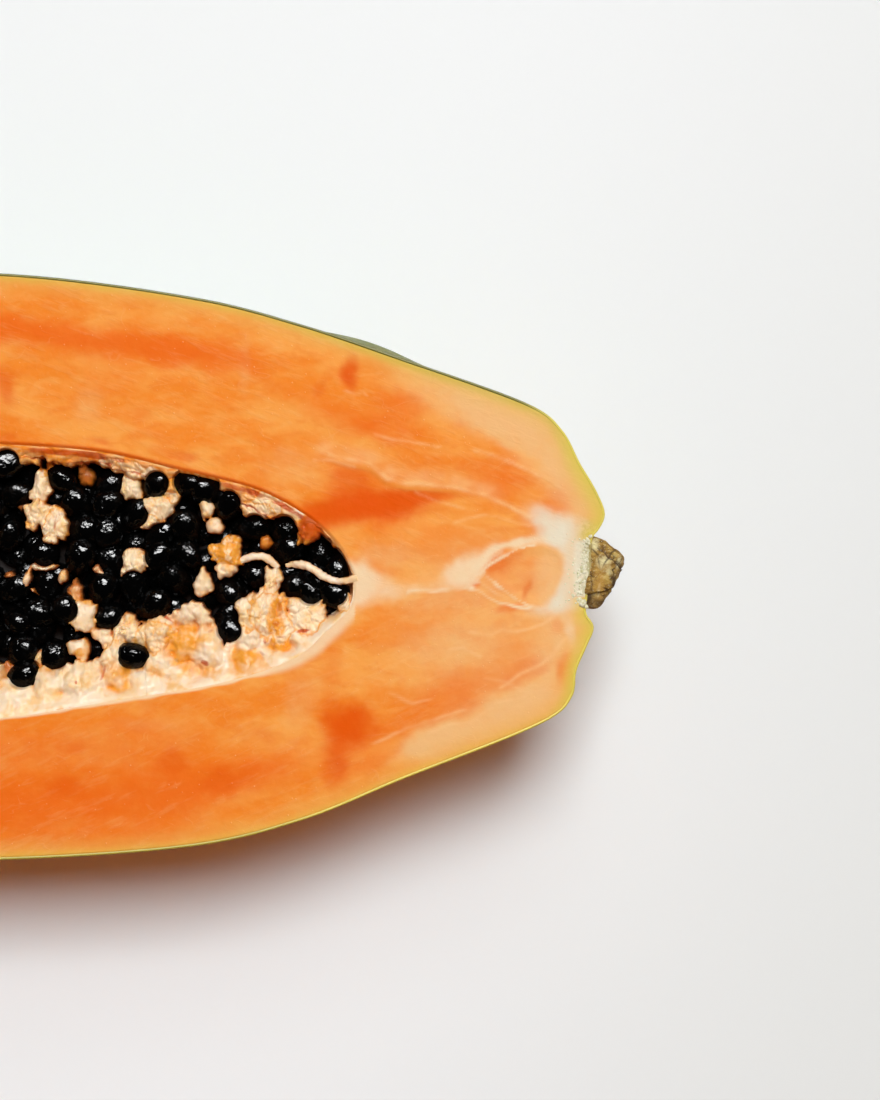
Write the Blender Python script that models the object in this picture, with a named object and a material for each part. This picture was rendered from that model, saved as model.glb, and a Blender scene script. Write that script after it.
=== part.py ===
"""Half a papaya, cut lengthwise from stem to blossom end, lying on its back with the cut face up.

Frame: metres, +Z up, +X towards the stem, +Y across the cut face. The origin is at the middle of the
box round the part, on the surface that it lies on. The solids are worked out in a fruit frame first,
with the cut face at z = 0 and x = 0 at the stem shoulders, and settle_on_base() moves them at the end.

Nodes: flesh (the half fruit with its peel and seed hollow), pith (the pale lining of the hollow, thick
along the near side), seeds (the heap of seeds that lies in it) and stem (the woody stub, cut through).
"""

import math

import bmesh
import bpy
import numpy as np
from mathutils import Vector

# Driving dimensions.
LENGTH = 0.248  # stem shoulders to blossom tip
HALF_WIDTH = 0.0595  # the far side's widest half width, on the cut face
UNDERSIDE = 0.965  # depth below the cut face, as a share of the mean half width
BASE_FLAT = 0.0010  # how much the fruit flattens where it lies
HOLLOW_DEPTH = 0.027  # deepest point of the seed hollow
SEED_LEVEL = 0.0075  # seed heap's mean surface, below the cut face
SEED_LENGTH = 0.0070
SEED_WIDTH = 0.0058
SEEDS_CLEAR = 0.0048  # no seed comes closer than this to the cut face
STEM_RADIUS = 0.0073
GAP = 0.0003  # left between pieces that touch
MERGE = 1e-6  # points closer than this are one

# The outline of the cut face, as (distance from the stem shoulders / LENGTH, half width / HALF_WIDTH).
# Both lists go from the stem's dimple over the shoulder and the waist to the blossom tip, and a point
# of one answers to the same point of the other.
FAR_SIDE = (
    (0.0150, 0.124), (0.0050, 0.142), (0.0000, 0.185), (0.0065, 0.262), (0.0200, 0.358),
    (0.0345, 0.470), (0.0560, 0.546), (0.1653, 0.713), (0.2460, 0.826), (0.3266, 0.912),
    (0.4880, 0.996), (0.6300, 0.988), (0.8000, 0.830), (0.9050, 0.590), (0.9650, 0.350),
    (0.9930, 0.150), (1.0000, 0.000),
)
NEAR_SIDE = (
    (0.0190, 0.128), (0.0135, 0.150), (0.0088, 0.195), (0.0160, 0.259), (0.0228, 0.336),
    (0.0265, 0.425), (0.0430, 0.497), (0.1653, 0.706), (0.2460, 0.842), (0.3266, 0.924),
    (0.4880, 0.973), (0.6300, 0.968), (0.8000, 0.815), (0.9050, 0.580), (0.9650, 0.345),
    (0.9930, 0.150), (1.0000, 0.000),
)
ROW_SPACING = 0.0078
STEPS_AROUND = 24

# Five low ribs, strongest at the stem, and one bulge of the peel just under the far edge.
RIBS = 5
RIB_HEIGHT = 0.0016
RIB_FADE = 0.075
RIB_TURN = math.radians(20)
BULGE_HEIGHT = 0.0034
BULGE_AT = (0.047, math.radians(15))
BULGE_SIZE = (0.015, math.radians(13))

# The seed hollow on the cut face, as (distance from the shoulders / LENGTH, y / HALF_WIDTH), and its
# depth at the same places / HOLLOW_DEPTH, from the end near the stem to the end near the blossom.
HOLLOW_FAR = (
    (0.2025, -0.010), (0.2160, 0.085), (0.2420, 0.185), (0.2820, 0.272), (0.3430, 0.336),
    (0.4097, 0.398), (0.4880, 0.423), (0.6050, 0.440), (0.7450, 0.370), (0.8450, 0.195),
    (0.8900, -0.022),
)
HOLLOW_NEAR = (
    (0.2025, -0.024), (0.2060, -0.120), (0.2260, -0.205), (0.2520, -0.296), (0.3050, -0.372),
    (0.3911, -0.432), (0.4880, -0.492), (0.6050, -0.500), (0.7450, -0.420), (0.8450, -0.235),
    (0.8900, -0.038),
)
HOLLOW_DEPTHS = (0.04, 0.30, 0.50, 0.66, 0.80, 0.92, 1.00, 1.00, 0.84, 0.50, 0.04)
HOLLOW_ROW_SPACING = 0.0060
HOLLOW_STEPS = 14
HOLLOW_ROUNDNESS = 0.85  # under 1 the hollow's floor is flatter than an ellipse
HOLLOW_CUT_ABOVE = 0.004  # how far the cutting tool of the hollow stands above the cut face

# Pith between the hollow's wall and the seeds: a film on the far side, a broad slope on the near side.
PITH_FAR = 0.0013
PITH_FLOOR = 0.0030
PITH_SLOPE = 0.0078
PITH_ENDS = 0.0006
PITH_LUMPS = (0.30, 0.0065, 2.3)  # share of the slope, spacing along, spacing round in steps
PITH_RIM = 0.0007
PITH_RIM_DROP = 0.0009
PITH_RIM_WAVE = 0.0031
PITH_RIM_SWING = 0.6  # how much of the rim's drop comes and goes along it
POCKET_LEAST = 0.25  # the seed pocket is never smaller than this share of the hollow
SLOPE_AT = math.radians(152)
SLOPE_SPREAD = math.radians(26)

HEAP_ROWS = 70
HEAP_COLUMNS = 22
HEAP_FLOOR_STEPS = 6
HEAP_SEED = 7
HEAP_ENDS = 0.004  # left free at each end of the hollow
HEAP_LEAST_DEPTH = 1.25  # the heap stops where the pocket's depth is under this many SEED_LEVELs
WALL_FINENESS = 8  # places tried on the pocket's wall in each of its steps
ROW_CLOSENESS = 0.85  # spacing of the rows of seeds / SEED_LENGTH
SEED_JITTER = 0.0008

STEM_SIDES = 10
STEM_RINGS = (  # (distance from the shoulders, y of the middle, radius / STEM_RADIUS)
    (0.0034, -0.0002, 0.93), (0.0020, -0.0003, 1.00), (0.0002, -0.0008, 0.94), (-0.0022, -0.0012, 0.76),
)
STEM_SLANT = 0.40  # how much further the stub reaches on its far side
STEM_CORNERS = 0.055  # how much its five corners stand out


def smooth_curve(points, counts):
    """Points on a centripetal Catmull-Rom curve through the given ones, with counts[i] steps in span i."""
    p = np.array(points, float)
    p = np.vstack([2 * p[0] - p[1], p, 2 * p[-1] - p[-2]])
    made = []
    for i, count in enumerate(counts):
        a, b, c, d = p[i : i + 4]
        knots = np.cumsum([0.0] + [np.linalg.norm(q - o) ** 0.5 for o, q in ((a, b), (b, c), (c, d))])
        t0, t1, t2, t3 = knots
        for t in np.linspace(t1, t2, count, endpoint=False):
            ab = a + (b - a) * (t - t0) / (t1 - t0)
            bc = b + (c - b) * (t - t1) / (t2 - t1)
            cd = c + (d - c) * (t - t2) / (t3 - t2)
            abc = ab + (bc - ab) * (t - t0) / (t2 - t0)
            bcd = bc + (cd - bc) * (t - t1) / (t3 - t1)
            made.append(abc + (bcd - abc) * (t - t1) / (t2 - t1))
    return np.array(made + [p[-2]])


def span_counts(points, spacing):
    """How many steps of about this spacing each span between two points takes, at least two."""
    lengths = np.linalg.norm(np.diff(np.array(points), axis=0), axis=1)
    return [max(2, round(length / spacing)) for length in lengths]


def in_metres(profile):
    return [(along * LENGTH, across * HALF_WIDTH) for along, across in profile]


def swelling(along, angle):
    """How far the peel stands out from the plain round form: the ribs, and the bulge by the far edge."""
    off_cut = math.sin(angle) ** 2
    fade = RIB_HEIGHT * math.exp(-along / RIB_FADE)
    ribs = fade * math.cos(RIBS * (angle - RIB_TURN)) * off_cut
    off = ((along - BULGE_AT[0]) / BULGE_SIZE[0], (angle - BULGE_AT[1]) / BULGE_SIZE[1])
    return ribs + BULGE_HEIGHT * math.exp(-(off[0] ** 2 + off[1] ** 2)) * min(1.0, angle / BULGE_AT[1])


def fruit_rows():
    """Rows of points from the dimple to the blossom, each from the far edge under the fruit to the near."""
    far, near = in_metres(FAR_SIDE), in_metres(NEAR_SIDE)
    counts = span_counts(far, ROW_SPACING)
    rows = []
    for (far_along, far_r), (near_along, near_r) in zip(
        smooth_curve(far, counts), smooth_curve(near, counts)
    ):
        row = []
        for step in range(STEPS_AROUND + 1):
            angle = math.pi * step / STEPS_AROUND
            share = (1 + math.cos(angle)) / 2
            along = near_along + (far_along - near_along) * share
            radius = near_r + (far_r - near_r) * share + swelling(along, angle) * (far_r > 0)
            depth = radius * UNDERSIDE
            row.append(Vector((-along, radius * math.cos(angle), -depth * math.sin(angle))))
        rows.append(row)
    return rows


def lofted(rows, start=None, end=None):
    """A mesh through rows of points, closed over the top, with a fan at each end to one point."""
    bm = bmesh.new()
    grid = [[bm.verts.new(point) for point in row] for row in rows]
    for row, after in zip(grid, grid[1:]):
        for i in range(len(row) - 1):
            bm.faces.new((row[i], row[i + 1], after[i + 1], after[i]))
    rim = []
    for point, row in ((start, grid[0]), (end, grid[-1])):
        if point is None:
            rim.append([])
            continue
        middle = bm.verts.new(point)
        for a, b in zip(row, row[1:]):
            bm.faces.new((middle, b, a) if row is grid[0] else (middle, a, b))
        rim.append([middle])
    bm.faces.new(rim[0] + [row[0] for row in grid] + rim[1] + [row[-1] for row in reversed(grid)])
    bmesh.ops.remove_doubles(bm, verts=bm.verts, dist=MERGE)
    bmesh.ops.recalc_face_normals(bm, faces=bm.faces)
    return bm


def cut_level(bm, height, keep_above):
    """Cuts a closed mesh at a height, keeps one side and closes it with a flat face."""
    normal = Vector((0, 0, -1 if keep_above else 1))
    geometry = list(bm.verts) + list(bm.edges) + list(bm.faces)
    found = bmesh.ops.bisect_plane(
        bm, geom=geometry, plane_co=(0, 0, height), plane_no=normal, clear_outer=True
    )
    edges = [item for item in found["geom_cut"] if isinstance(item, bmesh.types.BMEdge)]
    bmesh.ops.edgeloop_fill(bm, edges=edges)
    bmesh.ops.recalc_face_normals(bm, faces=bm.faces)
    return bm


def hollow_sections(wall=0.0, ends=0.0):
    """(along, y of the middle, half width, depth) of the hollow, drawn in by wall and at the ends by ends."""
    far, near = in_metres(HOLLOW_FAR), in_metres(HOLLOW_NEAR)
    counts = span_counts(far, HOLLOW_ROW_SPACING)
    depths = smooth_curve([(i, d * HOLLOW_DEPTH) for i, d in enumerate(HOLLOW_DEPTHS)], counts)[:, 1]
    far, near = smooth_curve(far, counts), smooth_curve(near, counts)
    middle = (far[:, 0] + near[:, 0]) / 2
    start, stop = middle[0] + ends, middle[-1] - ends
    for (_, y_far), (_, y_near), along, depth in zip(far, near, middle, depths):
        half = (y_far - y_near) / 2
        if half > wall and depth > wall and start <= along <= stop:
            yield along, (y_far + y_near) / 2, half - wall, depth - wall


def bowl_section(section, step, share=1.0):
    """(y, z) on the hollow's wall, from the far edge (step 0) to the near edge (step HOLLOW_STEPS)."""
    _, middle, half, depth = section
    angle = math.pi * step / HOLLOW_STEPS
    down = depth * math.sin(angle) ** HOLLOW_ROUNDNESS
    return middle + half * share * math.cos(angle), -down * share


def ringed(rows):
    """A closed solid through rows of points that each go once round, with a flat face at each end."""
    bm = bmesh.new()
    grid = [[bm.verts.new(point) for point in row] for row in rows]
    for row, after in zip(grid, grid[1:]):
        for i in range(len(row)):
            j = (i + 1) % len(row)
            bm.faces.new((row[i], row[j], after[j], after[i]))
    bm.faces.new(grid[0])
    bm.faces.new(reversed(grid[-1]))
    bmesh.ops.recalc_face_normals(bm, faces=bm.faces)
    return bm


def hollow_space(top):
    """The space of the seed hollow, with upright sides from the cut face up to top, to cut the flesh with."""
    rows = []
    for section in hollow_sections():
        points = [bowl_section(section, step) for step in range(HOLLOW_STEPS + 1)]
        ring = [(points[0][0], top), *points, (points[-1][0], top)]
        rows.append([Vector((-section[0], y, z)) for y, z in ring])
    return ringed(rows)


def pith_share(section, step):
    """The seed pocket's size as a share of the hollow's, which leaves the pith its thickness."""
    _, _, half, depth = section
    angle = math.pi * step / HOLLOW_STEPS
    film = PITH_FAR + (PITH_FLOOR - PITH_FAR) * math.sin(angle)
    slope = PITH_SLOPE * math.exp(-(((angle - SLOPE_AT) / SLOPE_SPREAD) ** 2))
    share, spacing, turns = PITH_LUMPS
    slope *= 1 + share * math.sin(section[0] / spacing) * math.cos(step / turns + section[0] / spacing / 3)
    thick = film + slope
    if step == HOLLOW_STEPS:
        thick = PITH_RIM
    reach = math.hypot(half * math.cos(angle), depth * math.sin(angle))
    return max(POCKET_LEAST, 1 - thick / reach)


def pith_lining():
    """The lining: the hollow's wall outside, the seed pocket inside, and a rim that rises and falls."""
    sections = list(hollow_sections(wall=GAP * 1.5, ends=PITH_ENDS))
    bm = bmesh.new()

    def skin(rows_of, share):
        grid = []
        for section in rows_of:
            row = []
            for step in range(HOLLOW_STEPS + 1):
                y, z = bowl_section(section, step, share(section, step))
                rim = PITH_RIM_DROP * (1 + PITH_RIM_SWING * math.sin(section[0] / PITH_RIM_WAVE + step))
                row.append(bm.verts.new((-section[0], y, min(z, -rim))))
            grid.append(row)
        for row, after in zip(grid, grid[1:]):
            for i in range(HOLLOW_STEPS):
                bm.faces.new((row[i], row[i + 1], after[i + 1], after[i]))
        bm.faces.new(grid[0])
        bm.faces.new(reversed(grid[-1]))
        return grid

    outer = skin(sections, lambda section, step: 1.0)
    inner = skin(sections[1:-1], pith_share)
    wide = [outer[0]] + outer[1:-1] + [outer[-1]]
    for side in (0, -1):
        edge = [row[side] for row in inner]
        for i in range(len(edge) - 1):
            bm.faces.new((wide[i + 1][side], wide[i + 2][side], edge[i + 1], edge[i]))
        for end, neighbour in ((0, 1), (-1, -2)):
            bm.faces.new((wide[end][side], wide[neighbour][side], inner[end][side]))
    for end in (0, -1):
        bm.faces.new((wide[end][0], wide[end][-1], inner[end][-1], inner[end][0]))
    bmesh.ops.recalc_face_normals(bm, faces=bm.faces)
    return bm


def seed_domes(rng, sections):
    """Middles of the seeds on top of the heap, on a jittered lattice over the hollow's plan."""
    lows = [s[1] - s[2] for s in sections]
    highs = [s[1] + s[2] for s in sections]
    domes = []
    along = sections[0][0]
    row = 0
    while along < sections[-1][0]:
        across = min(lows) + (row % 2) * SEED_WIDTH / 2
        while across < max(highs):
            jitter = rng.normal(0, SEED_JITTER, 3)
            domes.append((-along + jitter[0], across + jitter[1], jitter[2]))
            across += SEED_WIDTH
        along += SEED_LENGTH * ROW_CLOSENESS
        row += 1
    return np.array(domes)


def heap_height(x, y, domes):
    """Height of the heap's surface at a point, from the seeds that lie there."""
    off = ((domes[:, 0] - x) / (SEED_LENGTH / 2)) ** 2 + ((domes[:, 1] - y) / (SEED_WIDTH / 2)) ** 2
    rise = np.sqrt(np.clip(1 - off, 0, None)) * SEED_WIDTH / 2 + domes[:, 2]
    top = rise[off < 1].max() if (off < 1).any() else 0.0
    return min(-SEED_LEVEL + top, -SEEDS_CLEAR)


def seed_heap():
    """The heap: its floor follows the seed pocket, and its top shows the seeds as domes."""
    inset = PITH_FAR + 2 * GAP
    sections = list(hollow_sections(wall=inset, ends=HEAP_ENDS))
    sections = [s for s in sections if s[3] > SEED_LEVEL * HEAP_LEAST_DEPTH]
    places = np.array(sections)
    wanted = np.linspace(places[0, 0], places[-1, 0], HEAP_ROWS)
    finer = [tuple([w] + [np.interp(w, places[:, 0], places[:, k]) for k in (1, 2, 3)]) for w in wanted]
    domes = seed_domes(np.random.default_rng(HEAP_SEED), sections)
    rows = []
    for section in finer:
        steps = np.linspace(0, HOLLOW_STEPS, WALL_FINENESS * HOLLOW_STEPS + 1)
        wall = [bowl_section(section, s, pith_share(section, s) - GAP / section[2]) for s in steps]
        under = [point for point in wall if point[1] < -SEED_LEVEL]
        picked = np.linspace(0, len(under) - 1, HEAP_FLOOR_STEPS + 1).round().astype(int)
        floor = [under[i] for i in picked]
        (y_far, _), (y_near, _) = floor[0], floor[-1]
        x = -section[0]
        columns = np.linspace(y_near, y_far, HEAP_COLUMNS + 1)[1:-1]
        top = [(y, heap_height(x, y, domes)) for y in columns]
        rows.append([Vector((x, y, z)) for y, z in floor + top])
    return ringed(rows)


def stem_stub():
    """The woody stub: five blunt corners, a slanting end and a flat cut at the level of the cut face."""
    rings = []
    for along, middle, size in STEM_RINGS:
        ring = []
        for i in range(STEM_SIDES):
            angle = 2 * math.pi * i / STEM_SIDES
            radius = STEM_RADIUS * size * (1 + STEM_CORNERS * math.cos(5 * angle))
            y = radius * math.cos(angle)
            reach = STEM_SLANT * max(0.0, STEM_RINGS[0][0] - along) * y / STEM_RADIUS
            ring.append(Vector((-along + reach, middle + y, radius * math.sin(angle))))
        rings.append(ring)
    return cut_level(ringed(rings), 0.0, keep_above=False)


def fruit_body():
    """The half fruit before it is hollowed: dimple, shoulders, belly, blossom tip and a flat to lie on."""
    rows = fruit_rows()
    dimple_floor = Vector((-(FAR_SIDE[0][0] + NEAR_SIDE[0][0]) / 2 * LENGTH, 0, 0))
    tip = rows.pop()[0]
    bm = lofted(rows, start=dimple_floor, end=tip)
    lowest = min(vert.co.z for vert in bm.verts)
    return cut_level(bm, lowest + BASE_FLAT, keep_above=True)


def material(name, colour, roughness):
    made = bpy.data.materials.new(name)
    made.use_nodes = True
    shader = made.node_tree.nodes["Principled BSDF"]
    shader.inputs["Base Color"].default_value = (*colour, 1.0)
    shader.inputs["Roughness"].default_value = roughness
    return made


def new_object(name, bm, finish):
    mesh = bpy.data.meshes.new(name)
    bm.to_mesh(mesh)
    bm.free()
    mesh.materials.append(finish)
    made = bpy.data.objects.new(name, mesh)
    bpy.context.scene.collection.objects.link(made)
    return made


def cutter(name, bm):
    made = new_object(name, bm, None)
    made.hide_render = True
    made.display_type = "WIRE"
    return made


def cut_away(target, tool):
    step = target.modifiers.new("cut_" + tool.name, "BOOLEAN")
    step.operation = "DIFFERENCE"
    step.solver = "EXACT"
    step.object = tool


def settle_on_base(objects):
    """Moves every mesh: the middle of the box round the shown ones over the origin, its base at z = 0."""
    shown = [o for o in objects if not o.hide_render]
    corners = np.array([v.co for o in shown for v in o.data.vertices])
    low, high = corners.min(axis=0), corners.max(axis=0)
    shift = Vector((-(low[0] + high[0]) / 2, -(low[1] + high[1]) / 2, -low[2]))
    for o in objects:
        for v in o.data.vertices:
            v.co += shift


def main():
    for o in list(bpy.data.objects):
        bpy.data.objects.remove(o)

    flesh = new_object("flesh", fruit_body(), material("papaya_flesh", (0.87, 0.35, 0.09), 0.45))
    pith = new_object("pith", pith_lining(), material("pale_pith", (0.86, 0.66, 0.42), 0.6))
    seeds = new_object("seeds", seed_heap(), material("wet_seeds", (0.02, 0.016, 0.012), 0.25))
    stem = new_object("stem", stem_stub(), material("dry_stem", (0.30, 0.22, 0.10), 0.8))

    hollow = cutter("hollow", hollow_space(HOLLOW_CUT_ABOVE))
    cut_away(flesh, hollow)
    settle_on_base([flesh, pith, seeds, stem, hollow])


main()
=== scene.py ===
"""The looks of half a papaya: moist cut flesh, peel, granular pith, wet seeds and a woody stem stub.

Most shapes are worked out in the fruit's own frame, in millimetres: u runs from the stem shoulders
towards the blossom end, v across the cut face, and depth straight down from the cut.
"""

import math

import bmesh
import bpy
import numpy as np
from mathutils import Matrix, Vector, noise
from mathutils.kdtree import KDTree

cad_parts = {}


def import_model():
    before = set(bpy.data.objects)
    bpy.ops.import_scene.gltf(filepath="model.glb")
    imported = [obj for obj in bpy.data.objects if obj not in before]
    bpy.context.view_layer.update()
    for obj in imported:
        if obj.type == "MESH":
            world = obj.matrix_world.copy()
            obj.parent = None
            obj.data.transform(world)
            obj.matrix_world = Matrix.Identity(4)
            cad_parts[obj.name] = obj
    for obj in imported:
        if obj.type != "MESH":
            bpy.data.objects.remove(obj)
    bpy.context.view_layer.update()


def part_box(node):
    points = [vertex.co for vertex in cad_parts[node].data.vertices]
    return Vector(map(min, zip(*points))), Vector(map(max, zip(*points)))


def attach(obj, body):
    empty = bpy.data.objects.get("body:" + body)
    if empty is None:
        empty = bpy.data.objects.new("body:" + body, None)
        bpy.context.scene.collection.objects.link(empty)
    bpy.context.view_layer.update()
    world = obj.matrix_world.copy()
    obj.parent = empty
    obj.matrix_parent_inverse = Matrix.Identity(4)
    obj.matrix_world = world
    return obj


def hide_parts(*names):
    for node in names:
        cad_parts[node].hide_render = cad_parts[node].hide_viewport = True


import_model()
MM = 0.001

# ---------------------------------------------------------------------------------------------------
# The fruit's form, as shares of its length and half width.

FAR_SIDE = (
    (0.0105, 0.000), (0.0100, 0.108), (0.0046, 0.138), (0.0000, 0.185), (0.0065, 0.262),
    (0.0200, 0.358), (0.0345, 0.470), (0.0560, 0.546), (0.1653, 0.713), (0.2460, 0.826),
    (0.3266, 0.912), (0.4880, 0.996), (0.6300, 0.988), (0.8000, 0.830), (0.9050, 0.590),
    (0.9650, 0.350), (0.9930, 0.150), (1.0000, 0.000),
)
NEAR_SIDE = (
    (0.0105, 0.000), (0.0150, 0.118), (0.0150, 0.146), (0.0090, 0.190), (0.0150, 0.259),
    (0.0228, 0.336), (0.0265, 0.425), (0.0430, 0.497), (0.1653, 0.706), (0.2460, 0.842),
    (0.3266, 0.924), (0.4880, 0.973), (0.6300, 0.968), (0.8000, 0.815), (0.9050, 0.580),
    (0.9650, 0.345), (0.9930, 0.150), (1.0000, 0.000),
)
UNDERSIDE = 0.965
RIBS, RIB_HEIGHT, RIB_FADE, RIB_TURN = 5, 1.6, 75.0, math.radians(20)
BULGE_HEIGHT, BULGE_AT, BULGE_SIZE = 3.4, (47.0, math.radians(15)), (15.0, math.radians(13))

HOLLOW_FAR = (
    (0.2025, -0.017), (0.2160, 0.085), (0.2420, 0.185), (0.2820, 0.272), (0.3430, 0.336),
    (0.4097, 0.398), (0.4880, 0.423), (0.6050, 0.440), (0.7450, 0.370), (0.8450, 0.195),
    (0.8900, -0.030),
)
HOLLOW_NEAR = (
    (0.2025, -0.017), (0.2060, -0.120), (0.2260, -0.205), (0.2520, -0.296), (0.3050, -0.372),
    (0.3911, -0.432), (0.4880, -0.492), (0.6050, -0.500), (0.7450, -0.420), (0.8450, -0.235),
    (0.8900, -0.030),
)
HOLLOW_DEPTHS = (0.0, 8.1, 13.5, 17.8, 21.6, 24.8, 27.0, 27.0, 22.7, 13.5, 0.0)
HOLLOW_ROUNDNESS = 0.85


def smooth_line(points, per_span=40):
    """Points on a centripetal Catmull-Rom curve through the given ones, per_span of them in each span."""
    p = np.array(points, float)
    p = np.vstack([2 * p[0] - p[1], p, 2 * p[-1] - p[-2]])
    made = []
    for a, b, c, d in zip(p, p[1:], p[2:], p[3:]):
        gaps = [np.linalg.norm(q - o) ** 0.5 for o, q in ((a, b), (b, c), (c, d))]
        t0, t1, t2, t3 = np.cumsum([0.0, *gaps])
        t = np.linspace(t1, t2, per_span, endpoint=False)[:, None]
        ab = a + (b - a) * (t - t0) / (t1 - t0)
        bc = b + (c - b) * (t - t1) / (t2 - t1)
        cd = c + (d - c) * (t - t2) / (t3 - t2)
        abc = ab + (bc - ab) * (t - t0) / (t2 - t0)
        bcd = bc + (cd - bc) * (t - t1) / (t3 - t1)
        made.append(abc + (bcd - abc) * (t - t1) / (t2 - t1))
    return np.vstack(made + [p[-2:-1]])


def resample(line, at):
    """Points of a line at fractional places in its list."""
    places = np.arange(len(line))
    return np.stack([np.interp(at, places, column) for column in line.T], axis=1)


def evenly(line, shares):
    """Fractional places in a line's list at these shares of its length."""
    run = np.concatenate([[0.0], np.cumsum(np.linalg.norm(np.diff(line, axis=0), axis=1))])
    return np.interp(shares, run / run[-1], np.arange(len(line)))


flesh_low, flesh_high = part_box("flesh")
LENGTH = (flesh_high[0] - flesh_low[0]) / MM
STEM_END = flesh_high[0]
CUT = flesh_high[2]
far_line, near_line = smooth_line(FAR_SIDE), smooth_line(NEAR_SIDE)
WIDEST_FAR, WIDEST_NEAR = far_line[:, 1].max(), near_line[:, 1].max()
HALF_WIDTH = (flesh_high[1] - flesh_low[1]) / MM / (WIDEST_FAR + WIDEST_NEAR)
AXIS_Y = flesh_high[1] - WIDEST_FAR * HALF_WIDTH * MM
FRUIT = np.array([LENGTH, HALF_WIDTH])
FAR_LINE, NEAR_LINE = far_line * FRUIT, near_line * FRUIT
HOLLOW_FAR_LINE, HOLLOW_NEAR_LINE = smooth_line(HOLLOW_FAR) * FRUIT, smooth_line(HOLLOW_NEAR) * FRUIT
HOLLOW_DEPTH_LINE = smooth_line([(i, d) for i, d in enumerate(HOLLOW_DEPTHS)])[:, 1]


def closer_at_ends(count, crowding):
    """Shares from 0 to 1 in count steps, closer together at both ends."""
    share = np.linspace(0, 1, count + 1)
    return (1 - crowding) * share + crowding * (1 - np.cos(math.pi * share)) / 2


def in_scene(points):
    """Points (u, v, depth) of the fruit's frame, in millimetres, as points of the scene, in metres."""
    u, v, depth = np.moveaxis(np.asarray(points, float), -1, 0)
    return np.stack([STEM_END - u * MM, AXIS_Y + v * MM, CUT - depth * MM], axis=-1)


def smoothstep(x, low, high):
    """0 below low, 1 above high and a smooth rise between."""
    t = np.clip((x - low) / (high - low), 0.0, 1.0)
    return t * t * (3 - 2 * t)


def fade(x, low, high):
    """1 below low, 0 above high and a smooth fall between."""
    return 1 - smoothstep(x, low, high)


def mix(a, b, share):
    """a where the share is 0, b where it is 1."""
    return a + (b - a) * share


def together(*shares):
    """What several overlapping shares cover between them."""
    clear = 1.0
    for share in shares:
        clear = clear * (1 - share)
    return 1 - clear


def points_at(u, v, depth):
    """Points (u, v, depth) from arrays of their parts."""
    return np.stack([u, v, depth], axis=-1)


def read_off(u, table):
    """The value at u of a table of (u, value)."""
    return np.interp(u, *np.array(table).T)


def in_oval(u, v, oval):
    """Shares of the half length and half width of an oval (u, v, half length, half width, turn)."""
    middle_u, middle_v, half_long, half_wide, turn = oval
    du, dv = u - middle_u, v - middle_v
    c, s = math.cos(math.radians(turn)), math.sin(math.radians(turn))
    return (du * c + dv * s) / half_long, (-du * s + dv * c) / half_wide


def ripple(points, size, shift=0.0):
    """Smooth noise, about -1 to 1, with humps about size apart."""
    places = (points.reshape(-1, 3) / size + shift).tolist()
    return np.array([noise.noise(place) for place in places]).reshape(points.shape[:-1])


def grains(points, size, shift=0.0, crease=1.6):
    """Round grains about size across: 1 on a grain, 0 in the creases, which a high crease makes narrow."""
    places = (points.reshape(-1, 3) / size + shift).tolist()
    near_two = np.array([noise.voronoi(place)[0][:2] for place in places])
    return np.clip(crease * (near_two[:, 1] - near_two[:, 0]), 0, 1).reshape(points.shape[:-1])


# ---------------------------------------------------------------------------------------------------
# Meshes.


def grid_quads(rows, columns, first=0):
    """Faces of a grid of (rows + 1) by (columns + 1) points that are listed row by row."""
    r, c = np.meshgrid(np.arange(rows), np.arange(columns), indexing="ij")
    a = (first + r * (columns + 1) + c).ravel()
    return np.stack([a, a + 1, a + columns + 2, a + columns + 1], axis=1)


def placed(name, data):
    """A new object in the scene, at its origin."""
    made = bpy.data.objects.new(name, data)
    bpy.context.scene.collection.objects.link(made)
    return made


def set_shares(mesh, shares):
    """Keeps shares, by name, as attributes of a mesh's points."""
    for key, values in shares.items():
        flat = np.asarray(values, float).ravel()
        mesh.attributes.new(key, "FLOAT", "POINT").data.foreach_set("value", flat)


def then_hidden(shares, hidden, value=0.0):
    """Shares of a piece's shown points as flat lists, followed by one value for its hidden points."""
    return {key: np.concatenate([shown.ravel(), np.full(hidden, value)]) for key, shown in shares.items()}


def new_piece(name, points, faces, finish, shares=None, merge=0.005 * MM):
    """A closed piece from scene points and faces: doubles merged, normals out, smooth shaded."""
    mesh = bpy.data.meshes.new(name)
    mesh.from_pydata(points.tolist(), [], [face for part in faces for face in np.asarray(part).tolist()])
    set_shares(mesh, shares or {})
    bm = bmesh.new()
    bm.from_mesh(mesh)
    bmesh.ops.remove_doubles(bm, verts=bm.verts, dist=merge)
    bmesh.ops.dissolve_degenerate(bm, edges=bm.edges, dist=merge)
    bmesh.ops.recalc_face_normals(bm, faces=bm.faces)
    bm.to_mesh(mesh)
    bm.free()
    mesh.shade_smooth()
    mesh.materials.append(finish)
    return placed(name, mesh)


def dress(piece, node):
    """Puts a piece on the body, in its node's stead, and hides the node."""
    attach(piece, "root")
    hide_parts(node)


# ---------------------------------------------------------------------------------------------------
# Node trees.


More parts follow.
